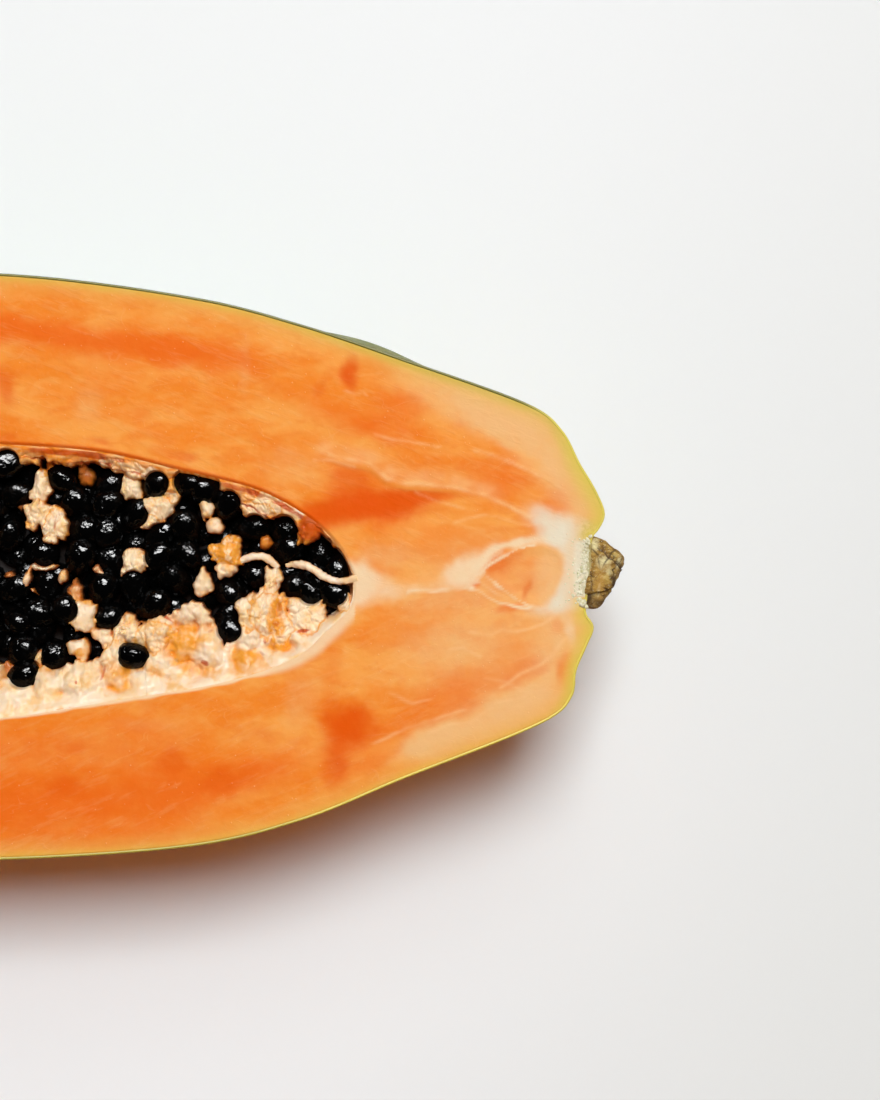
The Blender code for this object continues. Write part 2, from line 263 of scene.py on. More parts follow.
class Wire:
    """A socket of a node tree that ordinary arithmetic works on."""

    def __init__(self, tree, socket):
        self.tree, self.socket = tree, socket

    def maths(self, operation, a, b=0.0):
        """A maths node on two wires or numbers."""
        node = self.tree.nodes.new("ShaderNodeMath")
        node.operation = operation
        for slot, value in zip(node.inputs, (a, b)):
            feed(self.tree, slot, value)
        return Wire(self.tree, node.outputs[0])

    def __add__(self, other):
        return self.maths("ADD", self, other)

    def __sub__(self, other):
        return self.maths("SUBTRACT", self, other)

    def __rsub__(self, other):
        return self.maths("SUBTRACT", other, self)

    def __mul__(self, other):
        return self.maths("MULTIPLY", self, other)

    def __abs__(self):
        return self.maths("ABSOLUTE", self)

    __radd__, __rmul__ = __add__, __mul__


def feed(tree, slot, value):
    """Links a wire to a socket, or sets the socket to a plain value."""
    if isinstance(value, Wire):
        tree.links.new(value.socket, slot)
    else:
        slot.default_value = value


class Nodes:
    """A shader or geometry node tree that is built one expression at a time."""

    def __init__(self, tree):
        self.tree = tree
        tree.nodes.clear()

    def add(self, kind, settings=None, sockets=None, output=0):
        """Adds one node. Settings are set first, then its sockets, by name or place, linked or filled."""
        node = self.tree.nodes.new(kind)
        for key, value in (settings or {}).items():
            if key == "stops":
                self.set_stops(node.color_ramp, value)
            else:
                setattr(node, key, value)
        for key, value in (sockets or {}).items():
            feed(self.tree, node.inputs[key], value)
        return Wire(self.tree, node.outputs[output]) if node.outputs else node

    @staticmethod
    def set_stops(ramp, stops):
        """Gives a colour ramp these stops, each a place and a colour."""
        while len(ramp.elements) < len(stops):
            ramp.elements.new(1.0)
        for element, (place, colour) in zip(ramp.elements, stops):
            element.position = place
            element.color = colour

    def step(self, value, low, high):
        """0 below low, 1 above high and a smooth rise between."""
        return self.add(
            "ShaderNodeMapRange",
            {"interpolation_type": "SMOOTHSTEP"},
            {"Value": value, "From Min": low, "From Max": high},
        )

    def blend(self, share, a, b):
        """Colour a where the share is 0, colour b where it is 1."""
        return self.add("ShaderNodeMix", {"data_type": "RGBA"}, {"Factor": share, 6: a, 7: b}, output=2)

    def coats(self, colour, *coats):
        """A colour with coats laid over it, each a share and its own colour."""
        for share, over in coats:
            colour = self.blend(share, colour, over)
        return colour

    def parts(self, vector):
        """The x, y and z of a vector."""
        x = self.add("ShaderNodeSeparateXYZ", {}, {"Vector": vector})
        return [Wire(self.tree, output) for output in x.socket.node.outputs]

    def attribute(self, name):
        """A share that the mesh keeps under this name."""
        return self.add("ShaderNodeAttribute", {"attribute_name": name}, output="Fac")

    def place(self, scale=(1, 1, 1), turn=(0, 0, 0)):
        """Object coordinates in millimetres, turned and stretched."""
        at = self.add("ShaderNodeTexCoord", output="Object")
        per_mm = tuple(s / MM for s in scale)
        return self.add("ShaderNodeMapping", {}, {"Vector": at, "Rotation": turn, "Scale": per_mm})

    def clouds(self, at, size, detail=3.0, roughness=0.55, distortion=0.0):
        """Noise of 0 to 1 with humps about size millimetres apart."""
        return self.add(
            "ShaderNodeTexNoise",
            {"normalize": True},
            {"Vector": at, "Scale": 1 / size, "Detail": detail, "Roughness": roughness,
             "Distortion": distortion},
        )

    def streaks(self, at, turn, length=7.0, width=1.5):
        """Thin streaks, 0 to 1, that run at an angle across a surface."""
        along = self.add(
            "ShaderNodeMapping",
            {"vector_type": "TEXTURE"},
            {"Vector": at, "Rotation": (0, 0, turn), "Scale": (length, width, width)},
        )
        return self.step(self.clouds(along, 1.0, detail=3.0, roughness=0.6), 0.50, 0.70)

    def dots(self, at, size, core, edge):
        """Round dots about size millimetres apart: 1 within core of their middles, 0 beyond edge."""
        far = self.add("ShaderNodeTexVoronoi", {}, {"Vector": at, "Scale": 1 / size}, output="Distance")
        return 1.0 - self.step(far, core, edge)

    def swell(self, geometry, push):
        """Geometry with its points pushed out along their normals."""
        normal = self.add("GeometryNodeInputNormal")
        offset = self.add("ShaderNodeVectorMath", {"operation": "SCALE"}, {0: normal, "Scale": push})
        return self.add("GeometryNodeSetPosition", {}, {"Geometry": geometry, "Offset": offset})

    def hand_over(self, geometry, coat):
        """Ends a geometry tree: the geometry smooth shaded and in its material."""
        smooth = self.add("GeometryNodeSetShadeSmooth", {}, {"Geometry": geometry})
        coated = self.add("GeometryNodeSetMaterial", {}, {"Geometry": smooth, "Material": coat})
        self.add("NodeGroupOutput", {}, {"Geometry": coated})


def new_geometry_tree(name, inputs):
    """A geometry tree, its nodes and its inputs by name. A None among the inputs stands for a material."""
    tree = bpy.data.node_groups.new(name, "GeometryNodeTree")
    kinds = {float: "NodeSocketFloat", int: "NodeSocketInt", type(None): "NodeSocketMaterial"}
    tree.interface.new_socket("Geometry", in_out="INPUT", socket_type="NodeSocketGeometry")
    for key, value in inputs.items():
        socket = tree.interface.new_socket(key, in_out="INPUT", socket_type=kinds[type(value)])
        if value is not None:
            socket.default_value = value
    tree.interface.new_socket("Geometry", in_out="OUTPUT", socket_type="NodeSocketGeometry")
    n = Nodes(tree)
    group = tree.nodes.new("NodeGroupInput")
    return tree, n, {socket.name: Wire(tree, socket) for socket in group.outputs}


def grown(name, source_data, tree, **settings):
    """A piece that a geometry tree makes from a mesh or a curve, kept as a plain mesh of its own."""
    source = placed("source", source_data)
    step = source.modifiers.new("grow", "NODES")
    step.node_group = tree
    for item in tree.interface.items_tree:
        if item.in_out == "INPUT" and item.name in settings:
            step[item.identifier] = settings[item.name]
    bpy.context.view_layer.update()
    made = bpy.data.meshes.new_from_object(source.evaluated_get(bpy.context.evaluated_depsgraph_get()))
    made.name = name
    source.modifiers.remove(step)
    bpy.data.objects.remove(source)
    return placed(name, made)


def srgb(red, green, blue):
    """A colour of 0 to 255 as a linear one with alpha."""

    def linear(c):
        """One channel, from 0 to 255, made linear."""
        c /= 255
        return c / 12.92 if c <= 0.04045 else ((c + 0.055) / 1.055) ** 2.4

    return (linear(red), linear(green), linear(blue), 1.0)


def surface(n, colour, roughness, bump=None, fixed=None):
    """Finishes a material's nodes. Bump is (height, strength, distance); fixed is the same all over."""
    sockets = {"Base Color": colour, "Roughness": roughness, **(fixed or {})}
    if bump:
        height, strength, distance = bump
        sockets["Normal"] = n.add(
            "ShaderNodeBump", {}, {"Strength": strength, "Distance": distance * MM, "Height": height}
        )
    shader = n.add("ShaderNodeBsdfPrincipled", {}, sockets)
    n.add("ShaderNodeOutputMaterial", {}, {"Surface": shader})


def new_finish(name):
    """A new material and its empty node tree."""
    material = bpy.data.materials.new(name)
    material.use_nodes = True
    return material, Nodes(material.node_tree)


# ---------------------------------------------------------------------------------------------------
# Finishes.

LIGHT_GAIN = 0.918  # the scene's light is stronger than 1, so plain colours are held back by this


def lit(red, green, blue):
    """A colour of 0 to 255 as it should look in the scene's light."""
    return tuple(c * LIGHT_GAIN for c in srgb(red, green, blue)[:3]) + (1.0,)


def threads(n, at, size, turn, width):
    """Short fine threads that wander over a surface, 0 to 1."""
    turned = n.add("ShaderNodeMapping", {}, {"Vector": at, "Rotation": (0, 0, turn), "Scale": (0.55, 1, 1)})
    way = n.clouds(turned, size, detail=1.5, distortion=0.6)
    shown = n.step(n.clouds(turned, size * 0.8, detail=2.0), 0.53, 0.62)
    return (1.0 - n.step(abs(way - 0.5), width * 0.3, width)) * shown


def flesh_finish():
    """Moist flesh: orange with soft clouds, deep wet patches, painted shade below a fold, cream fibres and a
    yellow-green rim.
    """
    material, n = new_finish("papaya_flesh")
    at, along = n.place(), n.place(scale=(0.5, 1.0, 1.0))
    clouds = n.clouds(along, 8.0, detail=3.0)
    middling = n.clouds(along, 3.4, detail=2.5, distortion=0.4)
    fine = n.clouds(at, 1.3, detail=5.0, roughness=0.65)
    wander = (n.clouds(at, 3.0, detail=3.0) - 0.5) * 0.7
    pale, red, deep = n.attribute("pale"), n.attribute("red"), n.attribute("deep")
    cream, core = n.attribute("cream"), n.attribute("core")
    from_stem, across, _ = n.parts(at)
    crumbs = n.step(n.clouds(at, 0.6, detail=3.0), 0.36, 0.58)
    crumbly = n.blend(crumbs, lit(184, 174, 128), lit(230, 220, 188))
    by_stub = 1.0 - n.step(STEM_END / MM - from_stem + wander * 2.0, 2.8, 6.4)
    colour = n.coats(
        n.blend(n.step(clouds, 0.36, 0.62), lit(249, 160, 70), lit(245, 136, 38)),
        (n.step(middling, 0.50, 0.66) * 0.38, lit(240, 124, 34)),
        (n.step(middling, 0.46, 0.30) * 0.3, lit(250, 174, 92)),
        (n.step(fine, 0.40, 0.75) * 0.12, lit(250, 178, 102)),
        (n.step(pale + wander * pale, 0.02, 1.0) * 0.9, lit(243, 190, 128)),
        (n.step(red + wander * red, 0.0, 1.05) * 0.9, lit(240, 104, 14)),
        # Deeper orange of the wet patches and of the painted shade below the fold.
        (n.step(deep + wander * 0.6 * deep, 0.0, 1.05), lit(232, 86, 0)),
        (n.attribute("fibres") * 0.8, lit(252, 200, 142)),
        (n.step(cream + wander * 0.6 * cream, 0.0, 1.1), lit(247, 214, 172)),
        (n.step(core + wander * 0.6 * core, -0.05, 1.1), n.blend(by_stub, lit(236, 223, 197), crumbly)),
    )

    # The rim beside the peel: a broad soft band, a narrow one, and the dark edge of the peel itself.
    rind, green, yellow = n.attribute("rind"), n.attribute("greening"), n.attribute("yellowing")
    soft_edge = rind + (n.clouds(along, 5.0) - 0.5) * 1.2
    narrow = n.blend(yellow, n.blend(green, lit(230, 178, 70), lit(208, 184, 74)), lit(220, 198, 84))
    colour = n.coats(
        colour,
        ((1.0 - n.step(soft_edge, 0.0, 5.2 + yellow * 1.6)) * 0.65,
         n.blend(green, lit(240, 174, 84), lit(232, 184, 96))),
        ((1.0 - n.step(soft_edge, -0.5, 2.0 + green * 0.7 + yellow * 1.8)) * 0.85, narrow),
        ((1.0 - n.step(rind, 0.10, 0.50)) * n.attribute("olive"), lit(98, 98, 30)),
    )

    # Pale streaks that follow the fibres, tiny flecks, and fine curved threads that the knife left.
    far_share = n.step(across - AXIS_Y / MM, -6.0, 6.0)
    streaks = n.blend(far_share, n.streaks(at, 0.42), n.streaks(at, -0.36))
    flecks = n.dots(at, 1.5, 0.05, 0.15) * n.step(n.clouds(at, 3.0, detail=1.0), 0.44, 0.62)
    drawn = threads(n, at, size=4.4, turn=0.45, width=0.016)
    marks = n.add("ShaderNodeMath", {"operation": "MAXIMUM"}, {0: flecks, 1: drawn * 0.25}) * (1.0 - deep)
    colour = n.coats(
        colour,
        (streaks * 0.10 * (1.0 - deep), lit(250, 196, 132)),
        (marks * 0.3, lit(254, 200, 138)),
    )
    roughness = 0.46 + (fine - 0.5) * 0.2 - deep * 0.12
    relief = fine * 0.5 + marks * 0.5 + middling * 0.8 + streaks * 0.2
    surface(n, colour, roughness, bump=(relief, 0.35, 0.35),
            fixed={"Specular IOR Level": 0.01, "Subsurface Weight": 0.08,
                   "Subsurface Radius": (1.0, 0.45, 0.2), "Subsurface Scale": 0.0015})
    return material


def peel_finish():
    """Ripe peel: yellow with green clouds, fine pores and a few dry scars; dark olive at the cut."""
    material, n = new_finish("papaya_peel")
    at = n.place()
    clouds = n.clouds(n.place(scale=(0.5, 1.0, 1.0)), 34.0, detail=4.0)
    mottle = n.clouds(at, 6.0, detail=5.0, roughness=0.6)
    green_share = n.step(clouds + (mottle - 0.5) * 0.35 + n.attribute("greening"), 0.42, 0.78)
    pores = n.dots(at, 1.5, 0.10, 0.24)
    scars = n.step(n.clouds(at, 13.0, detail=6.0, roughness=0.7, distortion=1.0), 0.66, 0.72)
    colour = n.coats(
        n.blend(n.attribute("ripening"), lit(226, 164, 44), lit(246, 140, 6)),
        (green_share, lit(122, 128, 48)),
        (n.step(mottle, 0.5, 0.75) * 0.35, lit(196, 172, 78)),
        (pores * 0.35, lit(214, 196, 120)),
        (scars * 0.5, lit(126, 92, 44)),
        (n.attribute("edge"), n.blend(n.attribute("olive"), lit(226, 204, 84), lit(78, 82, 22))),
        (n.attribute("dry"), n.blend(mottle, lit(150, 124, 66), lit(214, 196, 136))),
    )
    roughness = 0.42 + (mottle - 0.5) * 0.2 + scars * 0.2
    relief = mottle * 0.6 - pores * 0.25 + scars * 0.4
    surface(n, colour, roughness, bump=(relief, 0.2, 0.3), fixed={"Specular IOR Level": 0.14})
    return material


def pith_finish():
    """Soft pith: cream with golden stains, popcorn grains with painted highlights, an orange lip with
    red-brown tears, and painted shade in its valleys, creases, lump rims and deep parts.
    """
    material, n = new_finish("papaya_pith")
    at = n.place()
    grain = n.clouds(at, 1.1, detail=3.0, roughness=0.55)
    patchy = n.clouds(at, 3.2, detail=2.5)
    broad = n.clouds(at, 6.0, detail=2.0)
    drawn_out = n.clouds(n.place(scale=(0.28, 1.0, 1.0)), 1.3, detail=3.0)
    knobbly, stain, crease = n.attribute("grain"), n.attribute("stain"), n.attribute("crease")
    lip, torn, sunken = n.attribute("lip"), n.attribute("torn"), n.attribute("sunken")
    colour = n.coats(
        n.blend(n.step(patchy, 0.44, 0.70), lit(253, 226, 194), lit(250, 206, 152)),
        (knobbly * 0.55, n.blend(n.step(patchy, 0.42, 0.66), lit(252, 222, 176), lit(246, 194, 120))),
        (n.step(broad, 0.48, 0.64) * 0.4, lit(247, 190, 104)),
        # Real golden stains, and painted shade in the valleys, on the lumps' rims and at the bench's edge.
        (n.step(stain + (patchy - 0.5) * 0.7, 0.10, 0.85) * 0.95, lit(243, 158, 44)),
        # Painted highlight: lighter cream where the grains stand up.
        (n.step(grain, 0.50, 0.66) * knobbly * 0.55, lit(253, 230, 192)),
        # Painted shade: orange-brown in the creases between the lobes and pebbles.
        (n.step(crease + (grain - 0.5) * 0.4, 0.25, 0.90) * 0.9, lit(206, 116, 24)),
        (lip * 0.9, n.blend(n.step(drawn_out, 0.42, 0.64), lit(246, 138, 40), lit(254, 202, 136))),
        # Red-brown tears, and at the lip's edge over the seeds partly painted shade.
        (n.step(torn + (drawn_out - 0.5) * 0.9, 0.25, 0.8) * 0.85, lit(200, 70, 12)),
        # Painted shade: brown, then near black, the deeper the pith lies among the seeds.
        (n.step(sunken, 0.0, 0.22) * 0.85, lit(190, 92, 20)),
        (n.step(sunken, 0.10, 0.90), lit(26, 9, 3)),
    )
    relief = grain * 0.35 * knobbly + patchy * 0.8 + drawn_out * lip
    surface(n, colour, 0.30, bump=(relief, 0.30, 0.4),
            fixed={"Specular IOR Level": 0.045, "Subsurface Weight": 0.15,
                   "Subsurface Radius": (1.0, 0.6, 0.25), "Subsurface Scale": 0.0012})
    return material


def seed_finish():
    """Black seeds in a wrinkled wet coat, brown where it is thin."""
    material, n = new_finish("wet_seed")
    at = n.place()
    mottle = n.clouds(at, 2.4, detail=3.0)
    wrinkle = n.clouds(at, 1.6, detail=2.0, roughness=0.5, distortion=0.8)
    colour = n.blend(n.step(mottle, 0.55, 0.80) * 0.9, srgb(3, 3, 3), srgb(14, 8, 5))
    roughness = 0.10 + n.step(mottle, 0.45, 0.75) * 0.12
    surface(n, colour, roughness, bump=(wrinkle, 0.6, 0.6), fixed={"Specular IOR Level": 0.12})
    return material


def core_finish():
    """The dark wet bed deep under the seeds."""
    material, n = new_finish("seed_bed")
    mottle = n.clouds(n.place(), 2.0, detail=4.0)
    colour = n.blend(mottle, srgb(5, 3, 2), srgb(22, 9, 5))
    surface(n, colour, 0.8, bump=(mottle, 0.4, 0.6), fixed={"Specular IOR Level": 0.1})
    return material


def stem_finish():
    """Dry stub: tan-gold wood with darker fibres, dark brown cracks and edges that are partly painted shade,
    grey-brown bark on its right edge and painted shade on its lower side.
    """
    material, n = new_finish("dry_stem")
    at = n.place()
    grain = n.clouds(n.place(scale=(0.35, 1.0, 1.0)), 0.8, detail=6.0, roughness=0.7)
    blotch = n.clouds(at, 2.4, detail=4.0)
    specks = n.clouds(at, 0.35, detail=2.0)
    stops = ((0.32, lit(64, 38, 14)), (0.44, lit(142, 102, 36)), (0.58, lit(190, 152, 70)),
             (0.74, lit(238, 220, 150)))
    colour = n.coats(
        n.add("ShaderNodeValToRGB", {"stops": stops}, {"Fac": grain * 0.7 + blotch * 0.5 - 0.10}),
        (n.step(specks, 0.56, 0.70) * 0.45, lit(238, 226, 178)),
        # Grey-brown: bark on the right edge, and painted shade on the lower side.
        (n.attribute("weathered") * 0.6, n.blend(grain, lit(62, 42, 32), lit(150, 122, 88))),
        (n.attribute("gold") * 0.75, n.blend(grain, lit(150, 98, 28), lit(216, 168, 78))),
        (n.attribute("pale") * n.step(grain, 0.30, 0.56) * 0.9, lit(240, 228, 172)),
        # Dark brown in the cracks and along the edges: partly the stub's own colour, partly painted shade.
        (n.attribute("crack") * 0.95, lit(52, 27, 13)),
    )
    relief = grain + specks * 0.4
    surface(n, colour, 0.72, bump=(relief, 0.6, 0.5), fixed={"Specular IOR Level": 0.08})
    return material


def crumb_finish():
    """Crumbs of dried pith by the stub: pale, a little green, with painted highlights on their bumps."""
    material, n = new_finish("dry_crumbs")
    mottle = n.clouds(n.place(), 0.6, detail=4.0)
    # Lighter where the bumps stand up: partly painted highlight.
    colour = n.blend(n.step(mottle, 0.34, 0.62), lit(206, 196, 146), lit(240, 233, 206))
    surface(n, colour, 0.7, bump=(mottle, 0.5, 0.3), fixed={"Specular IOR Level": 0.2})
    return material


def floor_finish():
    """A plain pale floor with a painted fall-off of light: a little greyer away from the light."""
    material, n = new_finish("pale_floor")
    x, y, _ = n.parts(n.place(scale=(MM, MM, MM)))
    # Painted fall-off of the light: greyer towards +X and -Y.
    fall = n.step(x * 1.1 - y * 0.3, 0.05, 0.30)
    colour = n.blend(fall, srgb(238, 238, 238), srgb(225, 225, 222))
    surface(n, colour, 0.8, fixed={"Specular IOR Level": 0.0})
    return material


# ---------------------------------------------------------------------------------------------------
# Flesh and peel.

PEEL_THICKNESS = 0.5
FLESH_INSET = 0.2
BEHIND_NOTCH = 2.0  # how much farther in the flesh stays behind the notches
BEYOND_RIM = 9.0  # a distance from the peel at which nothing of its rim is left
# How far the notches beside the stub reach in, as distances from the middle and reaches.
FAR_NOTCH = ((0.0, 6.4, 8.2, 11.0, 13.0), (2.9, 2.9, 1.9, 0.6, 0.0))
NEAR_NOTCH = ((0.0, 7.0, 8.8, 11.0, 13.0), (4.0, 4.3, 4.2, 3.0, 2.4))


def fruit_rows(count, crowding):
    """Far and near outline points (u, v) at count + 1 places, closer together towards the stem."""
    share = np.linspace(0, 1, count + 1)
    at = evenly((FAR_LINE + NEAR_LINE) / 2, (1 - crowding) * share + crowding * share**2)
    return resample(FAR_LINE, at), resample(NEAR_LINE, at)


def fruit_surface(rows, columns, crowding=0.28):
    """The peel's outer surface as a grid of points (u, v, depth), and the direction out of it."""
    far, near = fruit_rows(rows, crowding)
    angle = np.linspace(0, math.pi, columns + 1)
    share = (1 + np.cos(angle)) / 2
    u = near[:, :1] + (far - near)[:, :1] * share
    radius = near[:, 1:] + (far - near)[:, 1:] * share
    ribs = RIB_HEIGHT * np.exp(-u / RIB_FADE) * np.cos(RIBS * (angle - RIB_TURN)) * np.sin(angle) ** 2
    off = ((u - BULGE_AT[0]) / BULGE_SIZE[0]) ** 2 + ((angle - BULGE_AT[1]) / BULGE_SIZE[1]) ** 2
    bulge = BULGE_HEIGHT * np.exp(-off) * np.minimum(1.0, angle / BULGE_AT[1])
    radius = radius + (ribs + bulge) * smoothstep(radius, 0.0, 12.0)
    depth = np.minimum(radius * UNDERSIDE * np.sin(angle), CUT / MM)
    v = radius * np.cos(angle)
    beside = np.abs(v) + 0 * u
    outline = np.where(v > 0, np.interp(beside, *FAR_NOTCH), np.interp(beside, *NEAR_NOTCH))
    hidden = smoothstep(depth, 0.2, 2.0) * fade(beside, 9.5, 13.0) * fade(u, 9.0, 14.0)
    u = u + np.maximum(outline - u, 0) * hidden
    points = points_at(u, v, depth)
    out = np.cross(np.gradient(points, axis=0), np.gradient(points, axis=1))
    out[:, [0, -1], 2] = 0.0
    out[0], out[-1] = (-1, 0, 0), (1, 0, 0)
    out /= np.maximum(np.linalg.norm(out, axis=-1, keepdims=True), 1e-9)
    from_axis = points - points_at(u, 0 * u, 0 * u)
    out[1:-1] *= np.sign((from_axis[rows // 2] * out[rows // 2]).sum(axis=-1)).mean()
    return points, out


def by_stub(u, v):
    """1 where the peel gives way to the stub, 0 elsewhere."""
    return fade(np.abs(v - 0.2), 4.4, 6.2) * fade(u, 4.0, 7.0)


def olive_rim(u, v):
    """How dark green the cut edge of the peel is: most on the far side, not at all by the stem."""
    on_far_side = 0.85 * smoothstep(v, -2, 18) * smoothstep(u, 9, 18)
    on_near_side = 0.4 * smoothstep(-v, 2, 20) * smoothstep(u, 50, 75)
    return on_far_side + on_near_side


def peel():
    """A thin shell over the whole outside, with its cut edge showing round the flesh."""
    rows, columns = 300, 120
    points, out = fruit_surface(rows, columns)
    uneven = 0.13 + 0.05 * ripple(points, 7.0) + 0.10 * ripple(points, 22.0, 4.0)
    settle = smoothstep(points[..., 2], 0.0, 3.0) * smoothstep(CUT / MM - points[..., 2], 0.0, 3.0)
    outer = points - out * (uneven * settle)[..., None]
    inner = points - out * PEEL_THICKNESS
    drop = 0.10 + 0.08 * ripple(points, 3.0)[:, [0, -1]]
    outer[:, [0, -1], 2] = drop + 0.05
    inner[:, [0, -1], 2] = drop
    scene_points = in_scene(np.concatenate([outer.reshape(-1, 3), inner.reshape(-1, 3)]))
    size, next_row = (rows + 1) * (columns + 1), columns + 1
    quads = grid_quads(rows, columns)
    rims = (np.arange(rows)[:, None] * next_row + np.array([0, columns])).T
    strips = [np.stack([rim, rim + next_row, rim + next_row + size, rim + size], axis=1) for rim in rims]
    u, v, _ = np.moveaxis(points, -1, 0)
    edge = np.zeros(outer.shape[:2])
    edge[:, [0, -1]] = 1.0
    edge[:, [1, -2]] = 0.35
    by_side = 0.22 * smoothstep(v, -10, 40) - 0.22 * smoothstep(-v, 0, 30)
    shares = {
        "edge": edge,
        "greening": by_side + 0.1 * smoothstep(60 - u, 0, 50),
        "ripening": smoothstep(-v, -5, 40),
        "dry": by_stub(u, v),
        "olive": olive_rim(u, v),
    }
    both_sides = {key: np.tile(values.ravel(), 2) for key, values in shares.items()}
    piece = new_piece("peel", scene_points, [quads, quads + size, *strips], peel_finish(), both_sides)
    dress(piece, "flesh")


# Soft patches on the cut face: (u, v, half length, half width, turn in degrees, strength).
# Painted shade of the fold: deeper orange below the fold's line on the far side.
FOLD_SHADE_PATCHES = (
    (46.5, 13.0, 13.0, 3.6, -5, 1.0), (50.6, 17.6, 6.2, 4.6, 8, 0.66), (57.0, 11.2, 5.4, 3.4, 0, 0.75),
    (36.0, 14.8, 8.0, 2.0, -5, 0.65), (46.0, 9.6, 12.0, 3.4, 0, 0.3),
)
DEEP_PATCHES = (
    (51.2, -30.8, 6.4, 5.2, 14, 0.9), (53.0, -36.0, 4.0, 6.0, 10, 0.55), (53.8, -40.5, 2.8, 6.0, 6, 0.45),
    (54.8, -20.0, 3.4, 9.0, 5, 0.32), (50.9, 38.8, 2.0, 3.4, 4, 0.8), (51.2, 42.6, 1.6, 3.0, 4, 0.3),
    (57.4, 36.4, 2.0, 2.3, 20, 0.45), (119.9, 36.5, 2.8, 4.4, -10, 0.6), (119.5, 27.0, 3.2, 1.4, 0, 0.5),
    (92.7, 31.1, 3.4, 2.6, 0, 0.35), (101.0, 25.6, 3.0, 1.1, 5, 0.5), (84.0, 22.6, 3.4, 1.1, 12, 0.55),
    (86.5, -38.5, 4.0, 3.3, 0, 0.55), (108.4, -43.6, 5.0, 3.2, 0, 0.45), (77.2, -42.3, 5.0, 2.7, -10, 0.45),
    (106.3, -35.6, 4.0, 1.9, 0, 0.4), (68.4, -33.5, 3.2, 2.2, 30, 0.3), (90.7, -27.0, 3.2, 1.8, 0, 0.3),
    (15.9, -4.2, 1.1, 2.2, 12, 0.5), (148.0, 30.0, 5.0, 3.0, 10, 0.5), (171.0, -37.0, 6.0, 3.0, 15, 0.5),
    (205.0, 22.0, 5.0, 3.0, -30, 0.45), (226.0, -12.0, 4.0, 3.0, 40, 0.5), (152.0, -43.0, 6.0, 2.4, 5, 0.45),
    (187.0, 33.0, 5.0, 2.4, -15, 0.4),
)
RED_PATCHES = (
    (88.5, 44.5, 4.4, 3.4, 0, 0.6), (73.2, 42.0, 8.0, 3.8, 10, 0.3), (41.0, 33.2, 6.6, 3.4, 10, 0.6),
    (43.0, 28.0, 9.0, 3.4, 6, 0.6), (52.0, 30.5, 8.0, 3.4, 12, 0.45), (21.5, 18.2, 6.6, 4.6, -18, 0.62),
    (31.0, 21.5, 8.0, 3.2, 8, 0.35), (10.0, 13.0, 7.0, 3.4, -40, 0.42), (21.0, 0.8, 3.4, 2.0, -38, 0.4),
    (18.5, 3.2, 3.4, 1.2, -30, 0.4), (45.0, -33.0, 9.0, 3.0, -24, 0.5), (31.0, -25.5, 13.0, 4.4, -24, 0.52),
    (16.5, -20.5, 7.0, 2.6, -24, 0.45), (47.0, -39.0, 7.0, 2.6, -24, 0.5), (7.9, -20.1, 2.2, 4.2, 8, 0.7),
    (19.0, -7.6, 3.6, 0.9, -12, 0.6), (9.6, -11.4, 2.2, 2.6, 0, 0.35), (17.0, -0.6, 7.0, 5.6, 0, 0.25),
    (22.8, 1.9, 3.4, 0.8, -34, 0.75), (26.0, -2.5, 1.5, 1.0, -10, 0.7), (21.8, 0.2, 2.4, 1.3, -30, 0.5),
    (16.0, 16.0, 5.0, 3.4, -20, 0.25), (100.0, 38.0, 9.0, 3.6, 0, 0.3), (60.0, 34.0, 7.0, 4.4, 0, 0.25),
    (69.0, -20.0, 2.0, 3.0, 0, 0.2), (62.0, -24.0, 2.6, 5.0, 8, 0.25), (75.0, 33.0, 6.0, 3.0, 0, 0.15),
)
# Middles of the redder belts along the peel, as (u, distance from the axis).
FAR_BELT = ((0, 20), (40, 31), (73, 42), (88, 44), (104, 46), (120, 48.6), (170, 41), (225, 15))
NEAR_BELT = ((20, 22), (45, 34), (79, 43), (100, 46), (117, 47), (170, 42), (225, 15))
PALE_PATCHES = (
    (72.4, 41.5, 1.6, 8.0, 0, 0.35), (20.0, 30.6, 11.0, 5.0, 22, 0.85), (6.6, 21.5, 3.4, 8.4, -28, 0.75),
    (5.5, 15.0, 3.0, 4.0, 0, 0.5), (34.0, -34.2, 8.0, 3.4, -20, 1.0), (18.0, -28.4, 8.6, 4.2, -22, 1.0),
    (37.0, -5.0, 11.0, 3.0, 0, 0.25), (103.0, 33.0, 3.5, 5.0, 0, 0.35), (92.0, -31.0, 9.0, 2.2, 0, 0.3),
    (61.0, -26.0, 4.0, 8.0, 15, 0.35), (11.4, -1.0, 2.8, 5.0, 0, 0.6), (31.0, -15.0, 10.0, 4.0, -6, 0.3),
    (63.0, 20.6, 8.0, 5.0, 15, 0.3), (16.0, 24.6, 7.0, 1.8, 20, 0.4), (44.0, 3.0, 6.0, 3.0, 0, 0.35),
)
CREAM_PATCHES = (
    (49.0, -2.6, 3.0, 5.6, 6, 0.95), (46.0, -3.6, 5.0, 3.6, 0, 0.6), (50.6, -6.8, 4.2, 2.0, -52, 0.7),
    (41.0, -4.2, 5.0, 1.6, -4, 0.35), (28.0, 0.4, 5.0, 3.2, -32, 0.95), (27.6, -1.4, 2.0, 1.8, 0, 0.4),
    (7.0, -12.0, 1.6, 4.0, -8, 0.65), (14.2, 11.0, 4.0, 2.6, 36, 0.4),
)
# The pale mass of the core round the stub.
CORE_PATCHES = (
    (7.6, 7.4, 7.0, 3.4, 30, 1.0), (4.4, 0.6, 3.8, 8.6, 0, 1.0), (6.4, -5.6, 6.0, 3.2, -32, 1.0),
    (12.0, -7.9, 5.0, 1.7, -14, 0.5), (2.8, 7.4, 2.6, 2.6, 0, 0.9), (13.2, 10.8, 3.4, 2.2, 36, 0.4),
    (9.4, 5.9, 4.2, 1.6, 10, 0.75),
)

